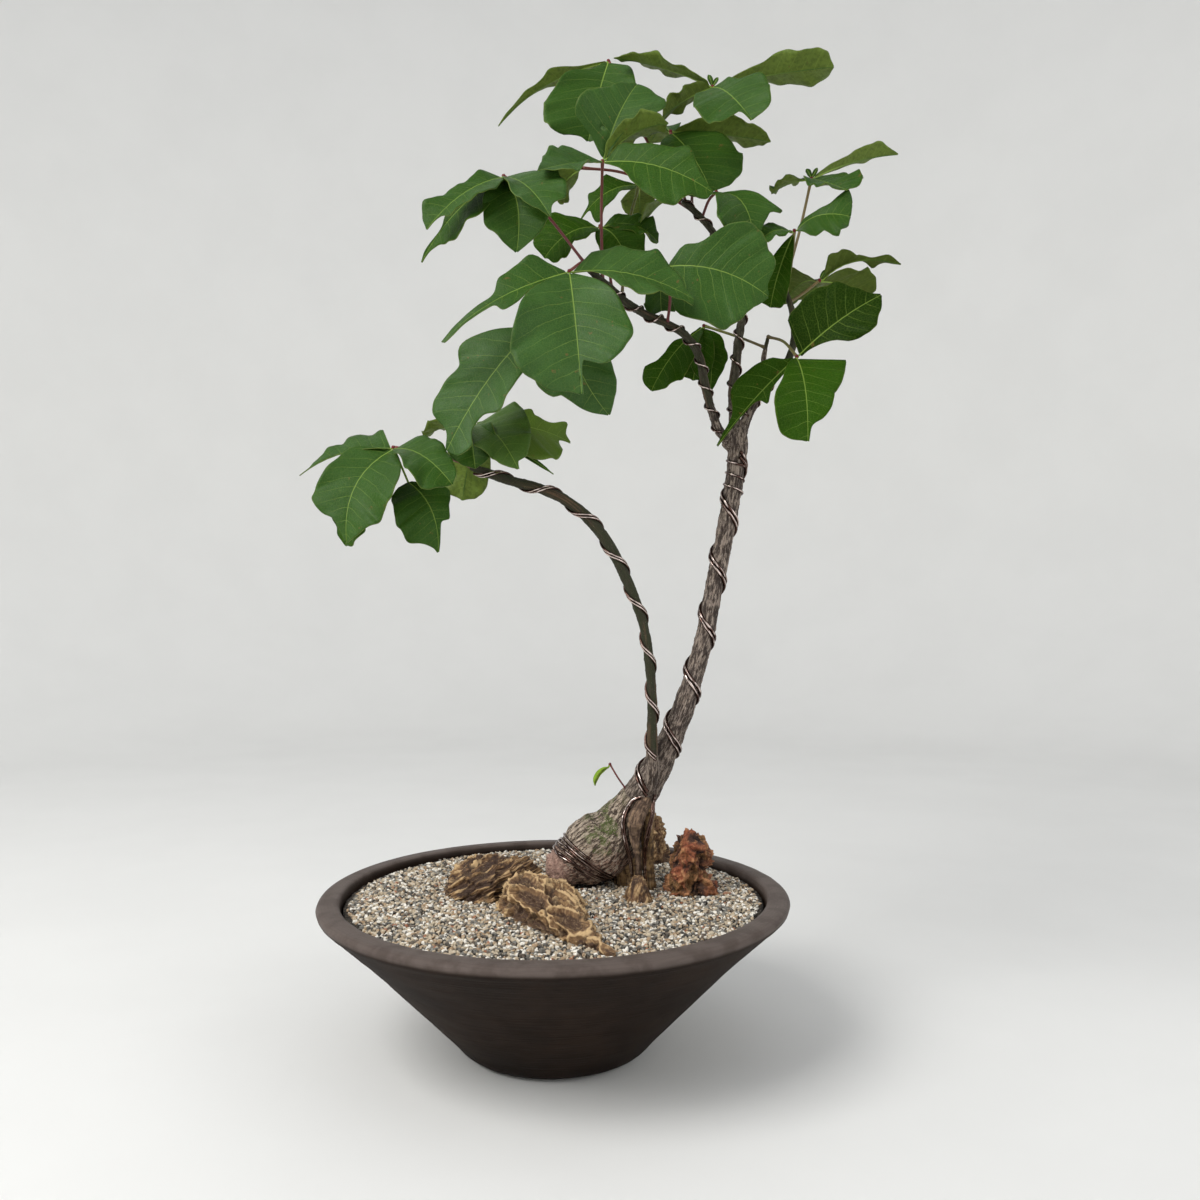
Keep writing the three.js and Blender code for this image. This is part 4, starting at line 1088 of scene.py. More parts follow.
                  left=[(0.1, 0.1), (0.3, 0.2), (0.38, 0.45), (0.5, 0.1)],
                  right=[(0.05, 0.2), (0.1, 0.5), (0.27, 0.8), (0.45, 0.7), (0.7, 0.2)]),
            sheet((213, -85, 534), 76, (0.1, -0.9, 0.4), shade=0.9,
                  left=[(0.02, 1.05), (0.15, 0.95), (0.35, 0.7), (0.6, 0.5), (0.72, 0.35), (0.85, 0.1)],
                  right=[(0.05, 0.2), (0.25, 0.5), (0.5, 0.8), (0.7, 0.8), (0.9, 0.45)]),
            sheet((281, -55, 663), 70, (0.25, -0.85, 0.42), shade=1.5,
                  left=[(0.03, 0.8), (0.15, 0.95), (0.3, 1.0), (0.7, 0.5), (0.9, 0.15)],
                  right=[(0.1, 0.1), (0.28, 0.35), (0.33, 0.65), (0.48, 0.8), (0.75, 0.5)])]},
    "right": {
        "hub": (242, 10, 695), "from": (214, 8, 674), "bend": (228, 11, 684), "blades": [
            sheet((319, 20, 713), 28, (0, 0.45, 0.9), arch=14, shade=1,
                  left=[(0.3, 0.1), (0.55, 0.1), (0.62, 0.8), (0.8, 0.4)],
                  right=[(0.05, 1.3), (0.25, 1.05), (0.45, 0.5), (0.68, 0.15), (0.83, 0.4)]),
            sheet((218, 62, 688), 48, (0, 0.4, 0.9), shade=0.9),
            sheet((295, 52, 690), 48, (0, 0.4, 0.9), arch=5, shade=0.9),
            sheet((247, 8, 704), 4, (0, -1, 0.1), arch=1, wave=0, neck=1)]},
    "right_high": {
        "hub": (235, 12, 789), "from": (209, 8, 687), "bend": (226, 18, 746), "blades": [
            sheet((254, -45, 757), 48, (0, -0.8, 0.6), arch=1, shade=0.6),
            sheet((203, 40, 786), 24, (0.1, -0.35, 1), arch=3, shade=0.5),
            sheet((319, 30, 819), 44, (0, 0.5, 0.85), arch=6, shade=0.4,
                  left=[(0.2, 0.15), (0.5, 0.15), (0.62, 0.3), (0.75, 0.05)],
                  right=[(0.15, 0.2), (0.4, 0.45), (0.7, 0.6), (0.82, 0.4)]),
            sheet((230, 10, 797), 5, (0, -1, 0.1), arch=1, wave=0, neck=1),
            sheet((240, 10, 798), 4, (0, -1, 0.1), arch=1, wave=0, neck=1)]},
    "right_middle": {
        "hub": (215, -12, 733), "from": (211, 8, 681), "bend": (214, -4, 708), "stalk": "yellow",
        "blades": [
            sheet((258, -42, 735), 56, (0, -0.92, 0.38), shade=0.5,
                  left=[(0.35, 0.2), (0.55, 0.4), (0.62, 0.9), (0.85, 0.55)],
                  right=[(0.1, 0.5), (0.25, 1.1), (0.38, 0.85), (0.55, 1.0), (0.75, 0.75)]),
            sheet((176, -20, 712), 34, (-0.2, -0.7, 0.7), arch=9, shade=0.5),
            sheet((198, 16, 672), 30, (-0.2, -0.9, 0.2), shade=1, widest=0.7)]},
    "back_single": {
        "hub": (23, 32, 807), "from": (130, 19, 760), "bend": (66, 44, 806), "blades": [
            sheet((-1, 36, 781), 36, (-0.2, 0.5, 0.8), arch=5, shade=0.5)]},
    "sprout": {
        "hub": (50, 20, 250), "from": (68, 24, 222), "bend": (57, 21, 238), "knuckle": 1.4, "thin": 0.8,
        "blades": [
            sheet((36, 17, 231), 9, (-0.9, -0.35, 0.4), arch=2, fold=0.8, wave=0)]},
}


def turned(vectors, axis, angles):
    """Vectors turned about an axis, each by its own angle."""
    cos, sin = np.cos(angles)[:, None], np.sin(angles)[:, None]
    return vectors * cos + np.cross(axis, vectors) * sin + axis * (vectors @ axis)[:, None] * (1 - cos)


def margin(t, spec, side, rng):
    """A blade's half width on one side at each of its rows, as a share of its widest."""
    if spec[side]:
        path = smooth_line(np.array([(0, 0.08), *spec[side], (1, 0.03)], float), 16)
        share = np.interp(t, np.maximum.accumulate(path[:, 0]), np.maximum(path[:, 1], 0.02))
    else:
        peak = math.log(0.5) / math.log(spec["widest"] - 0.1)
        share = np.maximum(np.sin(math.pi * t**peak), 0) ** 0.6
        share *= 1 - 0.5 * smooth_step(t, 0.86, 1.0)
    waves = [deep * np.sin(2 * math.pi * rate * t + rng.uniform(0, 6.28)) for deep, rate in MARGIN_WAVES]
    return share * (1 + sum(waves))


def grid_sheet(top, bottom, holes):
    """Closes two grids of points into one thin skin, with a wall round its margin and round each hole."""
    rows, columns = top.shape[:2]
    under = rows * columns
    open_cells = {(i + di, j + dj) for i, j in holes for di in (0, 1) for dj in (0, 1)}
    faces, edges = [], set()
    for i in range(rows - 1):
        for j in range(columns - 1):
            if (i, j) in open_cells:
                continue
            a = i * columns + j
            ring = (a, a + 1, a + 1 + columns, a + columns)
            faces += [ring, tuple(under + k for k in reversed(ring))]
            edges |= set(zip(ring, ring[1:] + ring[:1]))
    faces += [(b, a, under + a, under + b) for a, b in edges if (b, a) not in edges]
    return np.vstack([top.reshape(-1, 3), bottom.reshape(-1, 3)]), faces


def blade_lift(spec, t, s, x, shares, on, rng):
    """How far each spot of a blade stands off its flat: folded, arched, rippled, quilted and grooved."""
    t = t[:, None]
    phase = rng.uniform(0, 2 * math.pi, (len(RIPPLES), 2))[:, (s > 0).astype(int)]
    ripple = sum(high * np.sin(2 * math.pi * rate * t + turn) for (high, rate), turn in zip(RIPPLES, phase))
    lift = np.abs(x) * math.sin(spec["fold"]) + spec["arch"] * 4 * on * (1 - on)
    lift += spec["wave"] * 1.7 * np.minimum(shares, 1) * np.abs(s) ** 1.7 * ripple
    quilt = 0.16 * np.cos(2 * math.pi * VEIN_PAIRS * t)
    lift += quilt * np.clip(1 - np.abs(s), 0, 1) ** 0.3 * shares
    return lift - 0.35 * np.exp(-((x / 1.6) ** 2))


def blade_middle(hub, spec, rng):
    """A blade's middle surface, and how far its rows lie along it and its columns out from the midrib."""
    tip, face = np.array(spec["tip"], float), np.array(spec["face"], float)
    reach, width, neck = np.linalg.norm(tip - hub), spec["width"], spec["neck"]
    rows, columns = int(np.clip(reach / 2.2, 12, 54)), 2 * int(np.clip(width / 6, 3, 14)) + 1
    t, s = np.linspace(0, 1, rows), np.linspace(-1, 1, columns)
    along = (tip - hub) / reach
    flat = unit(face - along * (face @ along))
    up = turned(np.tile(flat, (rows, 1)), along, spec["twist"] * t)
    side = np.cross(along, up)
    left, right = (margin(t, spec, side_name, rng)[:, None] for side_name in ("left", "right"))
    shares = np.where(s[None, :] < 0, left, right)
    x = s * np.maximum(width / 2 * shares, 0.5)
    slant = 0.2 + 0.38 * smooth_step(t, 0, 0.4)
    on = np.clip(t[:, None] + slant[:, None] * np.abs(x) * (0.8 + 0.3 * np.abs(s)) / reach, 0, 1.02)
    lift = blade_lift(spec, t, s, x, shares, on, rng)
    run = neck + (reach - neck) * on
    lean = up - along * (up @ along)[:, None]
    swung = x * math.cos(spec["fold"]) + spec["bow"] * 4 * on * (1 - on)
    middle = hub + along * run[..., None] + side[:, None] * swung[..., None]
    return middle + lean[:, None] * lift[..., None], t, s, x


def blade(hub, spec, seed, thickness):
    """One blade and its midrib, each as points, faces, places on the blade and kinds of surface."""
    hub = np.array(hub, float)
    middle, t, s, x = blade_middle(hub, spec, np.random.default_rng(seed))
    normal = unit(np.cross(np.gradient(middle, axis=1), np.gradient(middle, axis=0)))
    for i, j, size in spec["holes"]:
        centre = middle[i + 1, j + 1].copy()
        for point in [(i + di, j + dj) for di in (0, 1, 2) for dj in (0, 1, 2) if (di, dj) != (1, 1)]:
            off = middle[point] - centre
            middle[point] = centre + off * size / np.linalg.norm(off)
    holes = [(i, j) for i, j, _ in spec["holes"]]
    points, faces = grid_sheet(middle + normal * thickness / 2, middle - normal * thickness / 2, holes)
    grid = (np.broadcast_to(s, x.shape), np.broadcast_to(t[:, None], x.shape), x)
    marks = np.stack(grid, axis=-1).reshape(-1, 3)
    painted_shade = spec["shade"]
    kind = np.zeros((2 * len(marks), 3))
    kind[len(marks):, 0] = 1
    kind[:, 1] = painted_shade
    rib = midrib(hub, middle[:, len(s) // 2], normal[:, len(s) // 2], t)
    rib_marks = np.zeros((len(rib[0]), 3))
    rib_marks[:, 1] = np.concatenate([np.repeat(np.concatenate([[0, 0], t]), RIB_SIDES), [0, 1]])
    rib_kind = np.tile([0, painted_shade, 0.5], (len(rib_marks), 1))
    return [(points, faces, np.vstack([marks, marks]), kind), (*rib, rib_marks, rib_kind)]


def midrib(hub, line, normal, t):
    """The stalk of a blade, which runs on along its underside as the midrib."""
    line = line - normal * 0.2
    start = hub + (line[0] - hub) * np.array([[0.0], [0.6]])
    radius = np.concatenate([[1.15, 0.95], 0.95 - 0.7 * np.sqrt(t)])
    line, normal = np.vstack([start, line]), np.vstack([normal[:1], normal[:1], normal])
    across = unit(np.cross(np.gradient(line, axis=0), normal))
    turns = whole_turn(RIB_SIDES)[:, None]
    out = across[:, None] * np.cos(turns) + normal[:, None] * np.sin(turns)
    return tube(line[:, None] + radius[:, None, None] * out)


def knuckle(hub, radius):
    """A small lumpy ball at a leaf's hub."""
    lift = np.linspace(-math.pi / 2, math.pi / 2, KNUCKLE_RINGS)[1:-1]
    turn = whole_turn(KNUCKLE_SIDES)
    ring = np.array([[(math.cos(b) * math.cos(a), math.cos(b) * math.sin(a), math.sin(b)) for a in turn]
                     for b in lift])
    ring *= radius * (1 + 0.12 * np.sin(4 * turn))[None, :, None]
    return tube(ring + np.array(hub, float))


def leaf_piece(name, leaf, seed, thickness):
    """A compound leaf: its blades with their midribs, and its hub, in one mesh."""
    parts = []
    for i, spec in enumerate(leaf["blades"]):
        parts += blade(leaf["hub"], spec, seed + i, thickness)
    ball, ball_faces = knuckle(leaf["hub"], leaf.get("knuckle", HUB_RADIUS))
    hub_marks = (np.tile(values, (len(ball), 1)) for values in ([0.5, 0.02, 3.0], [0, 0.5, 1]))
    parts.append((ball, ball_faces, *hub_marks))
    pattern, kind = (np.vstack([part[i] for part in parts]) for i in (2, 3))
    return outwards(mesh_piece(name, *joined(parts), blade=pattern, kind=kind))


def leaf_finish(name, leaves, green, light, deep, olive):
    """Satin leaf: pale midrib, fine side veins, cloudy greens between them, olive underneath."""

    def paint(g):
        place = g.place()
        s, t, x = g.parts(g.kept("blade"))
        under, painted_shade, part = g.parts(g.kept("kind"))
        out = g.math("ABSOLUTE", s)
        off = g.math("ABSOLUTE", x)
        wander = g.times(g.math("SUBTRACT", g.noise(place, 0.04, 2), 0.5), 0.5)
        veins = g.math("ADD", g.times(t, float(VEIN_PAIRS)), wander)
        cell = g.math("ABSOLUTE", g.math("SUBTRACT", g.math("FRACT", veins), 0.5))
        vein = g.times(g.ease(cell, 0.04, 0.0), g.ease(out, 1.0, 0.1, 0.1, 0.38))
        groove = g.ease(off, g.ease(t, 0.0, 1.0, 1.0, 0.45), 0.25, 0.0, 0.6)
        lines = g.math("MAXIMUM", groove, vein)
        net = g.cells(place, 0.42, "DISTANCE_TO_EDGE")
        field = g.noise(place, 0.03, 3)
        mottle = g.noise(place, 0.3, 4)
        face = g.coats(
            green,
            (field, 0.35, 0.7, 0.8, light),
            (cell, 0.1, 0.45, 0.22, light),
            (mottle, 0.5, 0.75, 0.3, deep),
            # Painted shade: a blade's shade darkens it to deep green, and past 1 darker still; below 0 it
            # is painted light, paler and yellower.
            (painted_shade, 0.0, 1.0, 0.9, deep),
            (painted_shade, 1.0, 1.6, 0.8, tint(20, 36, 2)),
            (painted_shade, 0.0, -1.0, 1.0, tint(112, 134, 40)),
            (net, 0.08, 0.0, 0.1, leaves.vein))
        back = g.coats(
            olive,
            (mottle, 0.4, 0.7, 1, tint(82, 100, 38)),
            # Painted shade: the underside darker on the shaded blades.
            (painted_shade, 0.5, 1.0, 0.6, tint(60, 70, 30)))
        skin = g.mix(lines, g.mix(under, face, back), leaves.vein)
        spots = g.times(g.ease(g.noise(place, 0.11, 2), 0.69, 0.72), g.ease(mottle, 0.45, 0.6), 0.6)
        skin = g.mix(spots, skin, leaves.spot)
        edge = g.times(g.ease(out, 0.97, 1.0), g.ease(field, 0.4, 0.6, 0.1, 0.45))
        skin = g.mix(edge, skin, tint(112, 126, 58))
        rib = g.mix(g.ease(t, 0.1, 0.9), leaves.vein, light)
        skin = g.coats(skin, (part, 0.2, 0.4, 1, rib), (part, 0.7, 0.9, 1, leaves.red))
        height = g.math("SUBTRACT", g.noise(place, 0.8, 3), g.times(lines, 0.7))
        height = g.math("SUBTRACT", height, g.ease(net, 0.12, 0.0, 0.0, 0.3))
        return {"Base Color": skin, "Roughness": g.ease(mottle, 0.3, 0.7, 0.4, 0.54),
                "Specular IOR Level": g.ease(g.math("ABSOLUTE", painted_shade), 0.1, 1.0, 0.22, 0.04),
                "Normal": g.bump(height, 0.25)}

    return finish(name, paint, Subsurface_Weight=0.04, Subsurface_Scale=0.002)


def stalk_piece(name, leaf):
    """A leaf's stalk, swollen where it leaves the wood and under the hub."""
    thin = leaf.get("thin", STALK_RADIUS)
    limb = Limb([(*leaf[point], thin) for point in ("from", "bend", "hub")])
    distance = np.linspace(0, limb.length - leaf.get("knuckle", HUB_RADIUS) * 0.8, STALK_RINGS)
    t = distance / limb.length
    swell = 1 + 0.55 * np.exp(-((t * 14) ** 2)) + 0.35 * np.exp(-(((1 - t) * 16) ** 2))
    turns = np.tile(whole_turn(STALK_SIDES), STALK_RINGS)
    rings = limb.around(np.repeat(distance, STALK_SIDES), turns, np.repeat(thin * swell, STALK_SIDES))
    points, faces = tube(rings.reshape(STALK_RINGS, STALK_SIDES, 3))
    marks = np.zeros((len(points), 3))
    marks[:-2, 0] = np.repeat(t, STALK_SIDES)
    marks[-1, 0] = 1
    return mesh_piece(name, points, faces, stalk=marks)


def stalk_finish(name, base, tip):
    """A smooth stalk that changes colour along its length."""

    def paint(g):
        place = g.place()
        t, _, _ = g.parts(g.kept("stalk"))
        across, _, _ = g.parts(place)
        skin = g.coats(
            base,
            (t, 0.1, 0.95, 1, tip),
            (across, 204, 212, 0.85, tint(116, 106, 58)),
            (g.noise(place, 0.5, 3), 0.5, 0.7, 0.5, tint(84, 56, 44)))
        return {"Base Color": skin, "Roughness": 0.42, "Normal": g.bump(g.noise(place, 2.0, 2), 0.12)}

    return finish(name, paint)


class BONSAI_OT_leaves(bpy.types.Operator):
    """The compound leaves, each with its blades and hub, and the young leaf on the stem base"""

    bl_idname = "bonsai.leaves"
    bl_label = "Leaves"

    def execute(self, context):
        leaves = context.scene.bonsai_leaves
        thickness = leaves.thickness / MM
        grown = leaf_finish("leaf_green", leaves, leaves.green, leaves.light, leaves.deep, leaves.olive)
        fresh = leaf_finish("leaf_fresh", leaves, leaves.fresh, tint(150, 180, 60), tint(120, 158, 36),
                            tint(132, 160, 52))
        for count, (name, leaf) in enumerate(LEAVES.items()):
            piece = leaf_piece(f"leaf_{name}_blades", leaf, SEEDS_PER_LEAF * count, thickness)
            young = name == "sprout"
            dress(piece, fresh if young else grown, "leaf_fresh" if young else "leaf", f"leaf_{name}")
        return {"FINISHED"}


class BONSAI_OT_stalks(bpy.types.Operator):
    """The leaf stalks"""

    bl_idname = "bonsai.stalks"
    bl_label = "Stalks"

    def execute(self, context):
        leaves = context.scene.bonsai_leaves
        red = stalk_finish("stalk_red", leaves.red, tint(122, 62, 54))
        green = stalk_finish("stalk_green", tint(104, 92, 58), leaves.yellow)
        for name, leaf in LEAVES.items():
            pale = leaf.get("stalk") == "yellow"
            piece = stalk_piece(f"stalk_{name}_round", leaf)
            dress(piece, green if pale else red, "stalk_green" if pale else "stalk_red", f"stalk_{name}")
        return {"FINISHED"}


# Pot


# The pot's radius and height, its base, floor and lip, and its wall's line from the base up.
POT_RADIUS = 210
POT_HEIGHT = 140
BASE_RADIUS = 74
FLOOR_THICKNESS = 11
LIP_HEIGHT = 14
WALL_ACROSS = 15
WALL_LINE = [(BASE_RADIUS, 0), (84, 5), (96, 18), (118, 41), (141, 65), (166, 91), (186, 110), (203, 126)]
# The rise between two throwing ridges, and the sides of the turned shape.
THROWING_RISE = 3.1
POT_SEGMENTS = 168
# The drain holes, and the drill that cuts them, which sticks out on both sides of the floor.
DRAIN_RADIUS = 6
DRAIN_DISTANCE = 40
DRAIN_HOLES = 3
DRILL_SIDES = 32
DRILL_SPARE = 4.0


def rounded(points, cut=1.2):
    """A line with each corner replaced by a short slope, cut off at most the given length."""
    out = [points[0]]
    for before, corner, after in zip(points, points[1:], points[2:]):
        for other in (before, after):
            away = np.linalg.norm(other - corner)
            out.append(corner + (other - corner) * min(cut / away, 0.3))
    return np.array([*out, points[-1]])


def resampled(points, step):
    """A line's points spaced about evenly."""
    run = run_along(points)
    return read_at(np.linspace(0, run[-1], int(run[-1] / step) + 1), run, points)


def pot_profile(pot):
    """The pot's section as radius and height, from the middle of its base out, up, over and in."""
    rim, top, width = pot.rim_radius / MM, pot.height / MM, pot.rim_width / MM
    foot = top - LIP_HEIGHT
    wall = smooth_line(np.array(WALL_LINE, float), 6)
    inner = [(r - WALL_ACROSS, z) for r, z in reversed(WALL_LINE) if z > FLOOR_THICKNESS + 8]
    line = np.array([
        (8, 0), *wall, (rim - 2, foot + 4), (rim, foot + 8), (rim - 1, top - 2.6), (rim - 4.5, top - 0.6),
        (rim - width + 2.4, top), (rim - width, top - 1.6), *inner, (86, FLOOR_THICKNESS + 8),
        (70, FLOOR_THICKNESS), (8, FLOOR_THICKNESS)], float)
    return resampled(rounded(rounded(line), 0.8), 2.0)


def pot_shell(pot):
    """The pot turned from its profile, a little uneven as thrown clay is."""
    profile = pot_profile(pot)
    turn = whole_turn(POT_SEGMENTS)
    r, z = profile[:, :1], profile[:, 1:]
    # The clay sags out of round, keeps ridges from throwing and is a little lumpy, all in millimetres.
    sag = 0.7 * np.sin(2 * turn + 0.4) + 0.4 * np.sin(3 * turn + 1.9)
    ridge = 0.16 * np.sin(z * 2 * math.pi / THROWING_RISE + 0.5 * np.sin(3 * turn)) * (r > BASE_RADIUS)
    radius = r + sag * (r / POT_RADIUS) + ridge
    lift = z + 0.35 * np.sin(2 * turn + 2.0) * (z / POT_HEIGHT)
    rings = np.stack([radius * np.cos(turn), radius * np.sin(turn), lift], axis=-1)
    rings += 0.25 * grain(rings.reshape(-1, 3), 16, 2).reshape(*rings.shape[:2], 1) * np.array([1, 1, 0.4])
    rings[..., 2] = np.maximum(rings[..., 2], 0)
    return mesh_piece("pot_shell", *tube(rings))


def drill_drains(piece):
    """Cuts the drain holes through the pot's floor."""
    for i in range(DRAIN_HOLES):
        angle = math.pi / 2 + 2 * math.pi * i / DRAIN_HOLES
        middle = np.array([math.cos(angle), math.sin(angle)]) * DRAIN_DISTANCE
        ring = middle + DRAIN_RADIUS * circle(DRILL_SIDES)
        ends = (-DRILL_SPARE, FLOOR_THICKNESS + DRILL_SPARE)
        rings = [np.column_stack([ring, np.full(DRILL_SIDES, z)]) for z in ends]
        drill = mesh_piece(f"drill_{i}", *tube(rings))
        cut = piece.modifiers.new("drain", "BOOLEAN")
        cut.operation = "DIFFERENCE"
        cut.solver = "EXACT"
        cut.object = drill
        settle(piece)
        bpy.data.objects.remove(drill)
    return piece


def clay_finish(pot):
    """Dark unglazed clay with faint throwing lines, painted shade on the wall, painted light on the rim,
    and a few scratches on the rim.
    """

    def paint(g):
        place = g.place()
        x, y, high = g.parts(place)
        out = g.math("POWER", g.math("ADD", g.times(x, x), g.times(y, y)), 0.5)
        cloud = g.noise(place, 0.02, 5, 0.6)
        lines = g.noise(g.scaled(place, (0.05, 0.05, 1.6)), 0.5, 4)
        speck = g.noise(place, 1.2, 4, 0.7)
        wall = g.coats(
            pot.clay,
            (cloud, 0.35, 0.68, 1, tint(40, 28, 20)),
            (lines, 0.48, 0.72, 0.5, tint(24, 18, 15)),
            (speck, 0.62, 0.74, 0.3, tint(66, 54, 45)),
            # Painted shade: the wall darker still towards its base.
            (high, 45, 0, 0.5, tint(22, 16, 13)))
        thrown = g.math("SINE", g.times(g.math("ADD", out, g.times(cloud, 6.0)), 2.3))
        scratch = g.noise(g.scaled(place, (0.35, 1.3, 1)), 0.09, 6, 0.75)
        rim = g.coats(
            pot.rim,
            (g.noise(place, 0.045, 4, 0.6), 0.4, 0.62, 1, tint(84, 74, 69)),
            (thrown, 0.2, 1.0, 0.16, tint(70, 61, 56)),
            (scratch, 0.68, 0.74, 0.75, pot.dust))
        # The rim's top takes the paler clay, painted light; the wall keeps the darker clay, painted shade.
        lip = g.times(g.ease(high, 130, 134.5), g.ease(out, 188.5, 191))
        body = g.mix(lip, wall, rim)
        height = g.math("ADD", g.times(speck, 0.6), lines)
        return {"Base Color": body, "Roughness": g.ease(lip, 0.0, 1.0, 0.62, 0.5),
                "Normal": g.bump(height, 0.35)}

    return finish("fired_clay", paint, Specular_IOR_Level=0.08)


class BONSAI_OT_pot(bpy.types.Operator):
    """The wide round clay pot, with its drain holes"""

    bl_idname = "bonsai.pot"
    bl_label = "Pot"

    def execute(self, context):
        pot = context.scene.bonsai_pot
        dress(drill_drains(pot_shell(pot)), clay_finish(pot), "pot", "pot")
        return {"FINISHED"}


class BONSAI_OT_filling(bpy.types.Operator):
    """The finishes of the soil and the drain net inside the pot"""

    bl_idname = "bonsai.filling"
    bl_label = "Filling"

    def execute(self, context):
        def soil(g):
            place = g.place()
            lump = g.cells(place, 0.3)
            shade = g.mix(g.ease(lump, 0.1, 0.7), tint(64, 48, 34), tint(26, 20, 15))
            hump = g.math("SUBTRACT", 1.0, lump)
            return {"Base Color": shade, "Roughness": 0.95, "Normal": g.bump(hump, 1.2)}

        def net(g):
            place = g.place()
            x, y, _ = g.parts(place)
            weave = g.math("MAXIMUM", *[g.math("SINE", g.times(axis, 2.1)) for axis in (x, y)])
            shade = g.mix(g.ease(weave, 0.2, 0.8), tint(8, 8, 8), tint(38, 38, 36))
            return {"Base Color": shade, "Roughness": 0.5, "Normal": g.bump(weave, 0.6)}

        for node, made in (("soil", finish("soil", soil)), ("drain_net", finish("net", net))):
            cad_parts[node].data.materials.clear()
            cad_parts[node].data.materials.append(made)
        return {"FINISHED"}


# Gravel


# Heights and radii of the gravel: the soil's top, the bed's edge, its mound and ripples, how deep it lies
# under the grains' own height, and the mesh of its disc.
SOIL_TOP = 117
GRAVEL_EDGE = 133
GRAVEL_MOUND = 4
MOUND_RADIUS = 190
GRAVEL_RELIEF = 0.8
GRAVEL_RADIUS = 187
BED_SINK = 1.4
BED_FLOOR_RADIUS = 174
BED_RINGS = 70
BED_SEGMENTS = 180
# The mesh that grains fall on: its step, its distance from the bed's edge, and the share of a stone's
# outline that it leaves open.
GROUND_STEP = 3.0
EDGE_GAP = 3
FOOTPRINT = 0.94
# How many shapes the grains have, and the seeds of their sizes, turns, shapes and minerals.
GRAIN_KINDS = 6
SIZE_SEED, TURN_SEED, KIND_SEED, MINERAL_SEED = 21, 22, 23, 24
# The feet of the wood in the gravel, as x, y and half sizes.
FEET = [(16, 30, 26, 17), (67, 33, 13, 13), (76, 9, 4.5, 4.5), (83, 14, 4.5, 4.5)]


def gravel_height(x, y):
    """The height of the bed's top, a low mound with small ripples."""
    out = np.hypot(x, y) / MOUND_RADIUS
    relief = np.sin(x / 4.1 + np.sin(y / 9)) * np.cos(y / 3.7 + np.sin(x / 7))
    return GRAVEL_EDGE + GRAVEL_MOUND * (1 - out * out) + GRAVEL_RELIEF * relief


def gravel_bed():
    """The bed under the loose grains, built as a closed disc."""
    ring = circle(BED_SEGMENTS)
    rings = [np.column_stack([ring * BED_FLOOR_RADIUS, np.full(BED_SEGMENTS, SOIL_TOP + 1.0)])]
    for k in range(BED_RINGS, 0, -1):
        flat = ring * GRAVEL_RADIUS * k / BED_RINGS
        rings.append(np.column_stack([flat, gravel_height(*flat.T) - BED_SINK]))
    return mesh_piece("gravel_bed", *tube(rings))


def inside(points, outline_points):
    """Which points lie inside a closed outline."""
    x, y = points.T
    ring = np.array(outline_points, float)
    hit = np.zeros(len(points), bool)
    for (x0, y0), (x1, y1) in zip(ring, np.roll(ring, -1, axis=0)):
        crosses = (y0 > y) != (y1 > y)
        hit ^= crosses & (x < (x1 - x0) * (y - y0) / ((y1 - y0) or 1e-9) + x0)
    return hit


def open_ground():
    """The part of the bed's top that grains can lie on: not under the stones or the wood."""
    line = np.arange(-GRAVEL_RADIUS, GRAVEL_RADIUS, GROUND_STEP)
    x, y = np.meshgrid(line, line, indexing="ij")
    flat = np.column_stack([x.ravel(), y.ravel()])
    keep = np.hypot(*flat.T) < GRAVEL_RADIUS - EDGE_GAP
    for stone in STONES.values():
        middle = np.array(stone["middle"])
        keep &= ~inside(flat, middle + (np.array(stone["outline"]) - middle) * FOOTPRINT)
    for cx, cy, across, deep in FEET:
        keep &= ((flat[:, 0] - cx) / across) ** 2 + ((flat[:, 1] - cy) / deep) ** 2 > 1
    count = len(line)
    corners = [i * count + j for i in range(count - 1) for j in range(count - 1)]
    quads = [(k, k + count, k + count + 1, k + 1) for k in corners]
    points = np.column_stack([flat, gravel_height(*flat.T) - BED_SINK])
    return points, [quad for quad in quads if all(keep[k] for k in quad)]


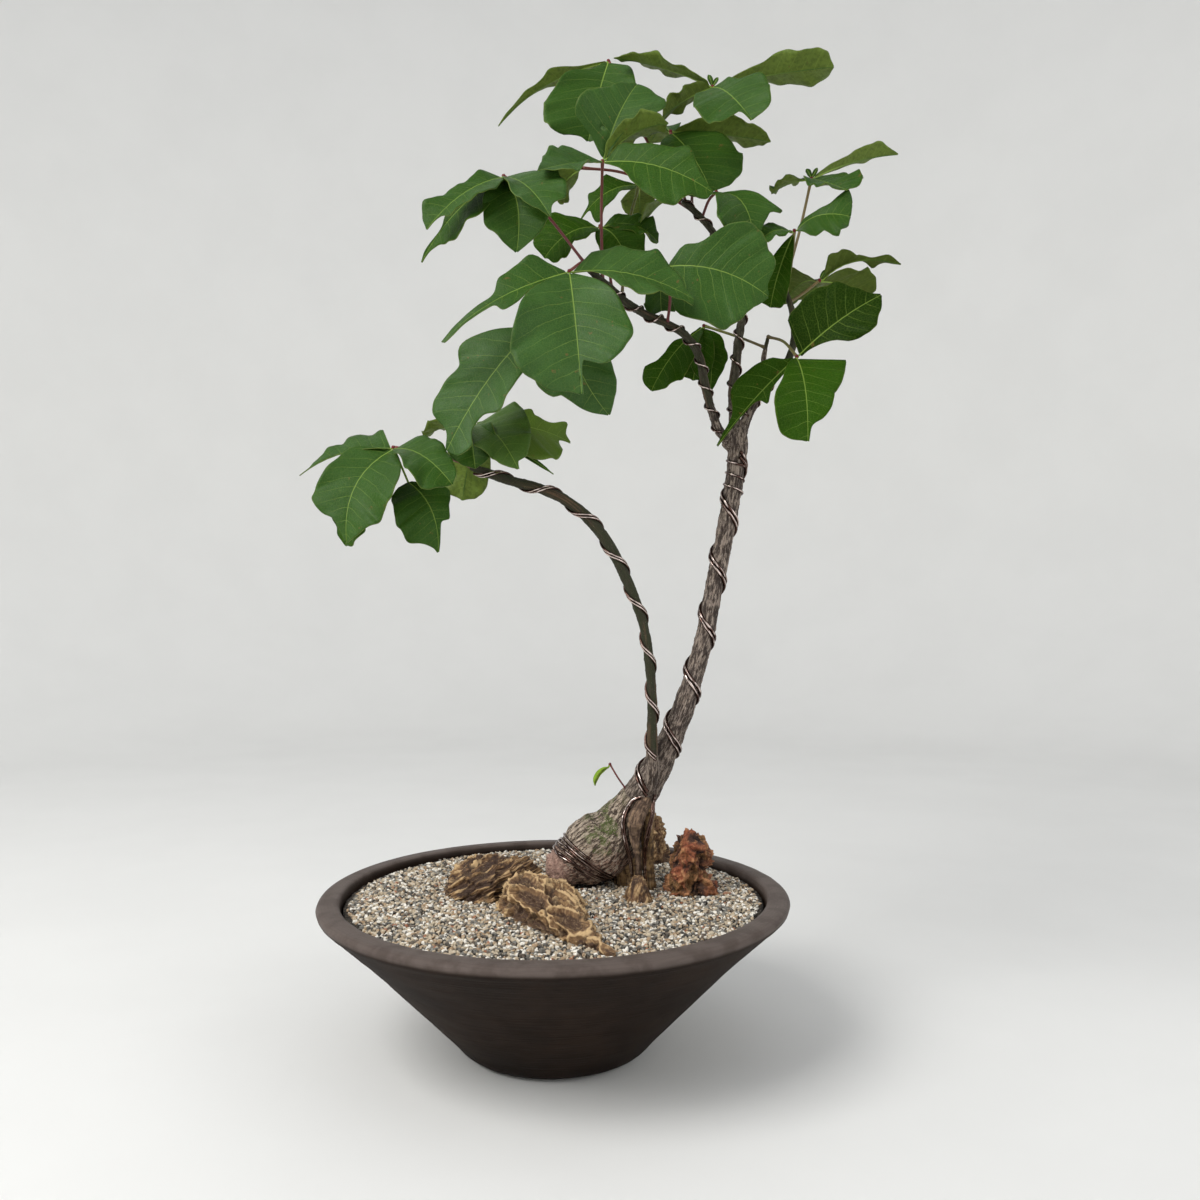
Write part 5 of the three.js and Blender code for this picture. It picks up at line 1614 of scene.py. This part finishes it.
def grains_tree(material):
    """A node tree that scatters angular grains over a surface."""
    g = shape_tree("loose_grains", "Grains", Ground="Geometry", Grain="Float", Gap="Float", Seed="Int")
    given = g.node("NodeGroupInput").outputs
    spread = g.node(
        "GeometryNodeDistributePointsOnFaces", {"distribute_method": "POISSON"}, Mesh=given["Ground"],
        Distance_Min=given["Gap"], Density_Max=400000.0, Seed=given["Seed"])
    kinds = g.node("GeometryNodeJoinGeometry")
    for i in range(GRAIN_KINDS):
        ball = g.node("GeometryNodeMeshIcoSphere", Radius=0.5, Subdivisions=1)
        knock = random_vector(g, (-0.17, -0.17, -0.17), (0.17, 0.17, 0.17), i + 1)
        lump = g.node("GeometryNodeSetPosition", Geometry=ball.outputs[0], Offset=knock)
        kind = g.node("GeometryNodeGeometryToInstance", Geometry=lump.outputs[0])
        g.feed(kinds.inputs[0], kind.outputs[0])
    size = random_vector(g, (0.62, 0.62, 0.5), (1.3, 1.1, 0.95), SIZE_SEED)
    scale = g.node("ShaderNodeVectorMath", {"operation": "SCALE"}, Vector=size, Scale=given["Grain"])
    turn = random_vector(g, (-0.5, -0.5, 0.0), (0.5, 0.5, 6.283), TURN_SEED)
    grains = g.node("GeometryNodeInstanceOnPoints", Points=spread.outputs[0], Instance=kinds.outputs[0],
                    Rotation=turn, Scale=scale.outputs[0])
    grains.inputs["Pick Instance"].default_value = True
    pick = g.node("FunctionNodeRandomValue", {"data_type": "INT"}, Seed=KIND_SEED)
    for socket, value in zip([s for s in pick.inputs if s.enabled], (0, GRAIN_KINDS - 1)):
        socket.default_value = value
    g.feed(grains.inputs["Instance Index"], [s for s in pick.outputs if s.enabled][0])
    kept = g.node("GeometryNodeStoreNamedAttribute", {"data_type": "FLOAT_VECTOR", "domain": "INSTANCE"},
                  Geometry=grains.outputs[0], Name="grain")
    value = [s for s in kept.inputs if s.name == "Value" and s.enabled][0]
    g.feed(value, random_vector(g, (0, 0, 0), (1, 1, 1), MINERAL_SEED))
    return end_tree(g, kept.outputs[0], material)


def gravel_finish(gravel):
    """Washed grains, each of one mineral: quartz, feldspar, slate or basalt."""

    def paint(g):
        place = g.place()
        pick, shade, _ = g.parts(g.kept("grain"))
        stone = g.steps(pick, [
            (0.0, gravel.white), (0.19, gravel.cream), (0.42, gravel.tan), (0.52, tint(192, 172, 144)),
            (0.61, gravel.grey), (0.78, gravel.dark), (0.91, tint(80, 64, 50)), (0.985, tint(164, 98, 60)),
            (1.0, tint(164, 98, 60))])
        stone.node.color_ramp.interpolation = "CONSTANT"
        stone = g.coats(stone, (g.noise(place, 0.8, 3), 0.4, 0.7, 0.35, tint(96, 86, 74)))
        stone = g.mix(g.times(shade, 0.16), stone, tint(226, 218, 202))
        return {"Base Color": stone, "Roughness": 0.72, "Normal": g.bump(g.noise(place, 2.2, 3), 0.25)}

    return finish("gravel_grains", paint)


def bed_finish():
    """The shaded grit between and under the grains."""

    def paint(g):
        place = g.place()
        cell = g.cells(place, 0.42)
        shade = g.coats(
            tint(120, 108, 92),
            (cell, 0.15, 0.6, 1, tint(46, 40, 33)),
            (g.noise(place, 0.5, 2), 0.45, 0.6, 1, tint(38, 33, 28)))
        return {"Base Color": shade, "Roughness": 0.9, "Normal": g.bump(g.math("SUBTRACT", 1.0, cell), 1.5)}

    return finish("gravel_bed", paint)


class BONSAI_OT_gravel(bpy.types.Operator):
    """The gravel: a packed bed and two sizes of loose grains on it"""

    bl_idname = "bonsai.gravel"
    bl_label = "Gravel"

    def execute(self, context):
        gravel = context.scene.bonsai_gravel
        dress(gravel_bed(), bed_finish(), "gravel", "gravel")
        tree = grains_tree(gravel_finish(gravel))
        ground, faces = open_ground()
        coarse = ("coarse", gravel.coarse, gravel.coarse_gap, 0.9)
        fine = ("fine", gravel.fine, gravel.fine_gap, 1.2)
        for count, (name, grain_size, gap, lift) in enumerate((coarse, fine)):
            piece = mesh_piece(f"gravel_{name}_grains", ground + UP * lift, faces)
            grow(piece, tree, Grain=grain_size, Gap=gap, Seed=gravel.seed + count)
            dress(settle(piece), None, "gravel")
        return {"FINISHED"}


# Stones


STONE_FLOOR = 129
STONE_RINGS = 46
STONE_SPOKES = 150
STONE_VOXEL = 0.85
# Ridges flatten towards the thin end of a long stone, between these distances from its middle.
TAPER_FROM, TAPER_TO = 60, 100
TAPER = 0.7

# Each stone: its middle and outline in plan, its height, how steep its sides are, and how it weathers:
# whether it splits in plates across a direction or in fibres along one, how much, how wide and deep its
# ridges are, how far they close into hollows, and how streaked it looks.
STONES = {
    "slab_back": {
        "middle": (-52, -2), "height": 33, "lean": (0.04, 0.14), "boxy": 4.5, "kind": "slab",
        "split": "plates", "way": (0.49, -0.19, -0.85), "drawn": 0.88, "ridge": 7.5, "relief": 6, "pits": 3,
        "blocks": 1.5, "warp": 0.8, "hollows": 0.15, "streaks": 1,
        "outline": [(-8, 10), (-14, 26), (-34, 34), (-62, 36), (-88, 31), (-104, 16), (-100, -4),
                    (-86, -22), (-70, -33), (-52, -35), (-48, -25), (-26, -18)]},
    "slab_front": {
        "middle": (-4, -66), "height": 25, "lean": (-0.24, 0.06), "boxy": 4.5, "kind": "slab",
        "split": "fibres", "way": (0.58, -0.8, -0.1), "drawn": 0.6, "ridge": 14, "relief": 11, "pits": 9,
        "blocks": 0.8, "warp": 2.0, "hollows": 0.9, "streaks": 0.4,
        "outline": [(25, -46), (18, -26), (0, -15), (-20, -16), (-42, -29), (-46, -51), (-28, -87),
                    (-8, -114), (12, -133), (33, -150), (52, -171), (46, -150), (35, -117), (29, -78)]},
    "lava_rock": {
        "middle": (122, 12), "height": 53, "lean": (0.12, 0), "boxy": 9, "kind": "lava",
        "split": "fibres", "way": (0.3, 0, 0.95), "drawn": 0.25, "ridge": 19, "relief": 12, "pits": 9,
        "blocks": 6, "warp": 1.6, "hollows": 0.7, "streaks": 0.45,
        "outline": [(142, 14), (136, 30), (122, 35), (109, 28), (103, 10), (107, -2), (116, -7),
                    (129, -9), (138, -4)]},
    "pebble_front": {
        "middle": (75, -20), "height": 25, "lean": (0, 0), "boxy": 2.2, "kind": "slab",
        "split": "fibres", "way": (0.25, 0.3, 0.92), "drawn": 0.85, "ridge": 8, "relief": 2.4, "pits": 1,
        "blocks": 1.2, "warp": 0.5, "hollows": 0.3, "streaks": 0.7,
        "outline": [(87, -20), (83, -9), (74, -6), (65, -9), (62, -20), (65, -30), (75, -34), (84, -30)]},
    "rock_back": {
        "middle": (92, 128), "height": 50, "lean": (0, 0.2), "boxy": 3.4, "kind": "slab",
        "split": "fibres", "way": (0.5, 0, 0.87), "drawn": 0.6, "ridge": 13, "relief": 7, "pits": 5,
        "blocks": 3, "warp": 1, "hollows": 0.5, "streaks": 0.6,
        "outline": [(113, 128), (106, 140), (92, 145), (78, 140), (73, 128), (77, 117), (92, 112),
                    (107, 117)]},
}


def closed_line(points, count):
    """Points spaced evenly round a smooth closed line through the given points."""
    ring = np.array(points, float)
    wrapped = smooth_line(np.vstack([ring[-2:], ring, ring[:2]]), 16)[32:-16]
    run = run_along(wrapped)
    return read_at(np.linspace(0, run[-1], count, endpoint=False), run, wrapped)


def bare_stone(name, stone):
    """A stone with upright lower sides and a crown that falls off towards its outline."""
    middle = np.array(stone["middle"], float)
    plan = closed_line(stone["outline"], STONE_SPOKES) - middle
    base = GRAVEL_EDGE + GRAVEL_MOUND
    rings = [np.column_stack([plan + middle, np.full(len(plan), STONE_FLOOR + CLEARANCE)])]
    for share in np.linspace(1, 0.02, STONE_RINGS):
        flat = plan * share
        crown = 1 - share ** stone["boxy"]
        rise = (stone["height"] - GRAVEL_MOUND + flat @ np.array(stone["lean"])) * crown
        rings.append(np.column_stack([flat + middle, base + rise]))
    piece = mesh_piece(name, *tube(rings))
    even_skin(piece, STONE_VOXEL * MM)
    return settle(piece)


def scallops(points, size, octaves, shift):
    """Knife-edged crests at 1 with smooth hollows between them, down to 0."""
    return 1 - np.minimum(np.abs(grain(points, size, octaves, shift)) * 2.4, 1) ** 0.65


def blocks(points, size, shift):
    """Broken corners: a height of -1 to 1 for each cell of a field of random lumps."""
    away = Vector((shift, 0.5 * shift, 0.3 * shift))
    return np.array([noise.cell(noise.voronoi(Vector(p) / size + away)[1][0] * 7.3) for p in points])


def walls(points, size, shift):
    """Thin crests at 1 where lumps of stone meet, and rounded hollows between them, down to 0."""
    away = Vector((shift, 0.7 * shift, 0.4 * shift))
    near = [noise.voronoi(Vector(p) / size + away)[0] for p in points]
    return (1 - np.clip(np.array([two - one for one, two, _, _ in near]) * 2.0, 0, 1) ** 0.8) ** 1.6


def weather(piece, stone):
    """Breaks a stone's surface into ridges, hollows, blocks and pits, as its kind of rock weathers."""
    points, outward = surface(piece)
    way, drawn = unit(np.array(stone["way"])), stone["drawn"]
    warped = points + stone["warp"] * np.stack([grain(points, 9, 2, k) for k in (11.0, 12.0, 13.0)], axis=1)
    along = np.outer(warped @ way * drawn, way)
    split = warped - along if stone["split"] == "fibres" else warped * (1 - drawn) + along
    size, share = stone["ridge"], stone["hollows"]
    sharp = 0.62 * scallops(split, size, 2, 1.5) + 0.38 * scallops(split, size * 0.4, 2, 4.5)
    cupped = 0.8 * walls(split, size, 3.0) + 0.2 * walls(split, size * 0.45, 8.0)
    crest = share * cupped + (1 - share) * sharp
    pits = np.clip(grain(warped, 8, 2, 6.0) - 0.25, 0, 1)
    chip = blocks(warped, size, 2.0)
    away = np.linalg.norm(points[:, :2] - np.array(stone["middle"]), axis=1)
    relief = stone["relief"] * (1 - TAPER * smooth_step(away, TAPER_FROM, TAPER_TO))
    depth = relief * (crest - 0.5 + 0.1 * share) + stone["blocks"] * (chip - 0.2) - stone["pits"] * pits
    depth += 0.25 * grain(points, 2.6, 2, 4.0) + 0.3 * scallops(split, 3.4, 1, 7.5)
    buried = np.clip((points[:, 2] - STONE_FLOOR - 1) / 5, 0.15, 1)
    move_points(piece, points + outward * (depth * buried)[:, None])
    rock = np.column_stack([crest + share * (crest - 0.5), np.clip(pits * 4, 0, 1), chip])
    return mark(piece, rock=rock, split=split)


def slab_finish(name, stones, streaks):
    """Ochre stone, paler on its crests and raised blocks, browner in its hollows and darker in its pits,
    streaked along its splits.
    """

    def paint(g):
        place = g.place()
        crest, pit, chip = g.parts(g.kept("rock"))
        fibre = g.noise(g.kept("split"), 0.5, 3, 0.6)
        cloud = g.noise(place, 0.07, 4)
        speck = g.noise(place, 0.6, 4, 0.65)
        low, worn = 0.15 + 0.29 * streaks, 0.75 - 0.12 * streaks
        rock = g.coats(stones.ochre, (cloud, 0.4, 0.6, 1, tint(106, 76, 50)))
        rock = g.mix(g.times(g.ease(chip, -0.2, 0.8), 0.45), rock, tint(144, 112, 74))
        rock = g.coats(
            rock,
            (crest, low, low - 0.3, 0.9, tint(78, 54, 37)),
            (fibre, 0.52, 0.62, 0.75 * streaks, stones.pale),
            (fibre, 0.49, 0.42, 0.9 * streaks, stones.deep),
            (crest, worn, worn + 0.2, 0.9, stones.pale),
            (crest, 0.3, 0.1, 0.8 * streaks, stones.deep))
        rock = g.coats(
            g.mix(g.times(pit, 0.85), rock, stones.deep),
            (speck, 0.55, 0.66, 0.45, tint(88, 60, 38)),
            (speck, 0.42, 0.34, 0.25, tint(190, 158, 112)))
        height = g.math("ADD", g.times(fibre, 0.4 + 0.6 * streaks), g.times(speck, 0.6))
        return {"Base Color": rock, "Roughness": 0.75, "Normal": g.bump(height, 1.0)}

    return finish(name, paint)


def lava_finish(name, stones, streaks):
    """Jagged rust-brown lava, paler on its crests and raised blocks and near-black in its hollows, pits and
    pores.
    """

    def paint(g):
        place = g.place()
        crest, pit, chip = g.parts(g.kept("rock"))
        cloud = g.noise(place, 0.06, 4)
        pores = g.cells(place, 0.4)
        grit = g.noise(place, 0.35, 5, 0.7)
        rock = g.coats(stones.rust, (cloud, 0.44, 0.56, 1, tint(122, 90, 54)))
        rock = g.mix(g.times(g.ease(chip, -0.2, 0.8), 0.6), rock, tint(156, 84, 56))
        rock = g.coats(
            rock,
            (crest, 0.55, 0.18, 0.95, tint(52, 32, 24)),
            (grit, 0.55, 0.65, 0.6, stones.ember),
            (grit, 0.47, 0.38, 2.0 * streaks, tint(66, 42, 30)),
            (crest, 0.74, 0.95, 0.85, stones.ember))
        rock = g.mix(g.math("MAXIMUM", pit, g.ease(pores, 0.2, 0.05, 0, 0.7)), rock, stones.char)
        return {"Base Color": rock, "Roughness": 0.8, "Normal": g.bump(g.math("ADD", pores, grit), 1.2)}

    return finish(name, paint)


class BONSAI_OT_stones(bpy.types.Operator):
    """The five loose stones"""

    bl_idname = "bonsai.stones"
    bl_label = "Stones"

    def execute(self, context):
        stones = context.scene.bonsai_stones
        finishes = {"slab": slab_finish, "lava": lava_finish}
        for name, stone in STONES.items():
            piece = weather(bare_stone(name + "_weathered", stone), stone)
            dress(piece, finishes[stone["kind"]](name, stones, stone["streaks"]), stone["kind"], name)
        return {"FINISHED"}


# Stage


def lamp(name, place, aim, size, power, shade):
    """A soft square light at a place, turned towards a point."""
    data = bpy.data.lights.new(name, "AREA")
    data.size = size
    data.energy = power
    data.color = shade
    light = placed(name, data)
    light.location = place
    light.rotation_euler = (Vector(aim) - Vector(place)).to_track_quat("-Z", "Y").to_euler()


class BONSAI_OT_stage(bpy.types.Operator):
    """The pale studio floor with its round sweep, the soft lights and the camera"""

    bl_idname = "bonsai.stage"
    bl_label = "Stage"

    def execute(self, context):
        stage = context.scene.bonsai_stage
        radius, bend, wall, sides = 3000, 900, 3600, 96
        turn = np.linspace(0, math.pi / 2, 12)
        profile = [(radius - bend + bend * math.sin(a), bend - bend * math.cos(a)) for a in turn]
        profile = [(600, 0), (1200, 0), *profile, (radius, wall)]
        rings = [np.column_stack([r * circle(sides), np.full(sides, z)]) for r, z in profile]
        points = np.vstack([*rings, [[0, 0, 0]]])
        faces = [tuple(reversed(f)) for f in tube_faces(len(rings), sides, closed=False)]
        faces += [(len(points) - 1, j, (j + 1) % sides) for j in range(sides)]
        floor = mesh_piece("studio_floor", points - UP * 0.2, faces)

        def paint(g):
            cloud = g.noise(g.place(), 0.004, 3)
            return {"Base Color": g.coats(stage.floor, (cloud, 0.3, 0.7, 0.25, tint(226, 226, 224)))}

        floor.data.materials.append(finish("studio", paint, Roughness=0.8))
        lamp("key", (-1.5, -1.3, 2.2), (0.05, 0, 0.5), 1.5, stage.key, (1.0, 0.99, 0.97))
        lamp("fill", (1.8, -1.2, 1.3), (0.05, 0, 0.4), 1.6, stage.fill, (0.97, 0.98, 1.0))
        world = bpy.data.worlds.new("studio")
        world.use_nodes = True
        world.node_tree.nodes["Background"].inputs[0].default_value = (0.93, 0.95, 1.0, 1)
        world.node_tree.nodes["Background"].inputs[1].default_value = 0.5
        context.scene.world = world
        data = bpy.data.cameras.new("camera")
        data.lens = stage.lens
        data.sensor_width = 36
        camera = placed("camera", data)
        camera.location = (stage.eye_x, -stage.eye_y, stage.eye_z)
        camera.rotation_euler = (math.pi / 2, 0, 0)
        context.scene.camera = camera
        context.scene.view_settings.view_transform = "Standard"
        return {"FINISHED"}


class BONSAI_PT_panel(bpy.types.Panel):
    """The pieces of the bonsai, in the sidebar"""

    bl_label = "Bonsai"
    bl_idname = "BONSAI_PT_panel"
    bl_space_type = "VIEW_3D"
    bl_region_type = "UI"
    bl_category = "Bonsai"

    def draw(self, context):
        for operator in OPERATORS:
            self.layout.operator(operator.bl_idname)


OPERATORS = [
    BONSAI_OT_stage, BONSAI_OT_pot, BONSAI_OT_filling, BONSAI_OT_gravel, BONSAI_OT_stones, BONSAI_OT_wood,
    BONSAI_OT_wires, BONSAI_OT_leaves, BONSAI_OT_stalks,
]


def register():
    for cls in [*SETTINGS.values(), *OPERATORS, BONSAI_PT_panel]:
        bpy.utils.register_class(cls)
    for name, cls in SETTINGS.items():
        setattr(bpy.types.Scene, name, bpy.props.PointerProperty(type=cls))


def unregister():
    for name in SETTINGS:
        delattr(bpy.types.Scene, name)
    for cls in reversed([*SETTINGS.values(), *OPERATORS, BONSAI_PT_panel]):
        bpy.utils.unregister_class(cls)


def main():
    register()
    for operator in OPERATORS:
        group, name = operator.bl_idname.split(".")
        getattr(getattr(bpy.ops, group), name)()


if __name__ == "__main__":
    main()
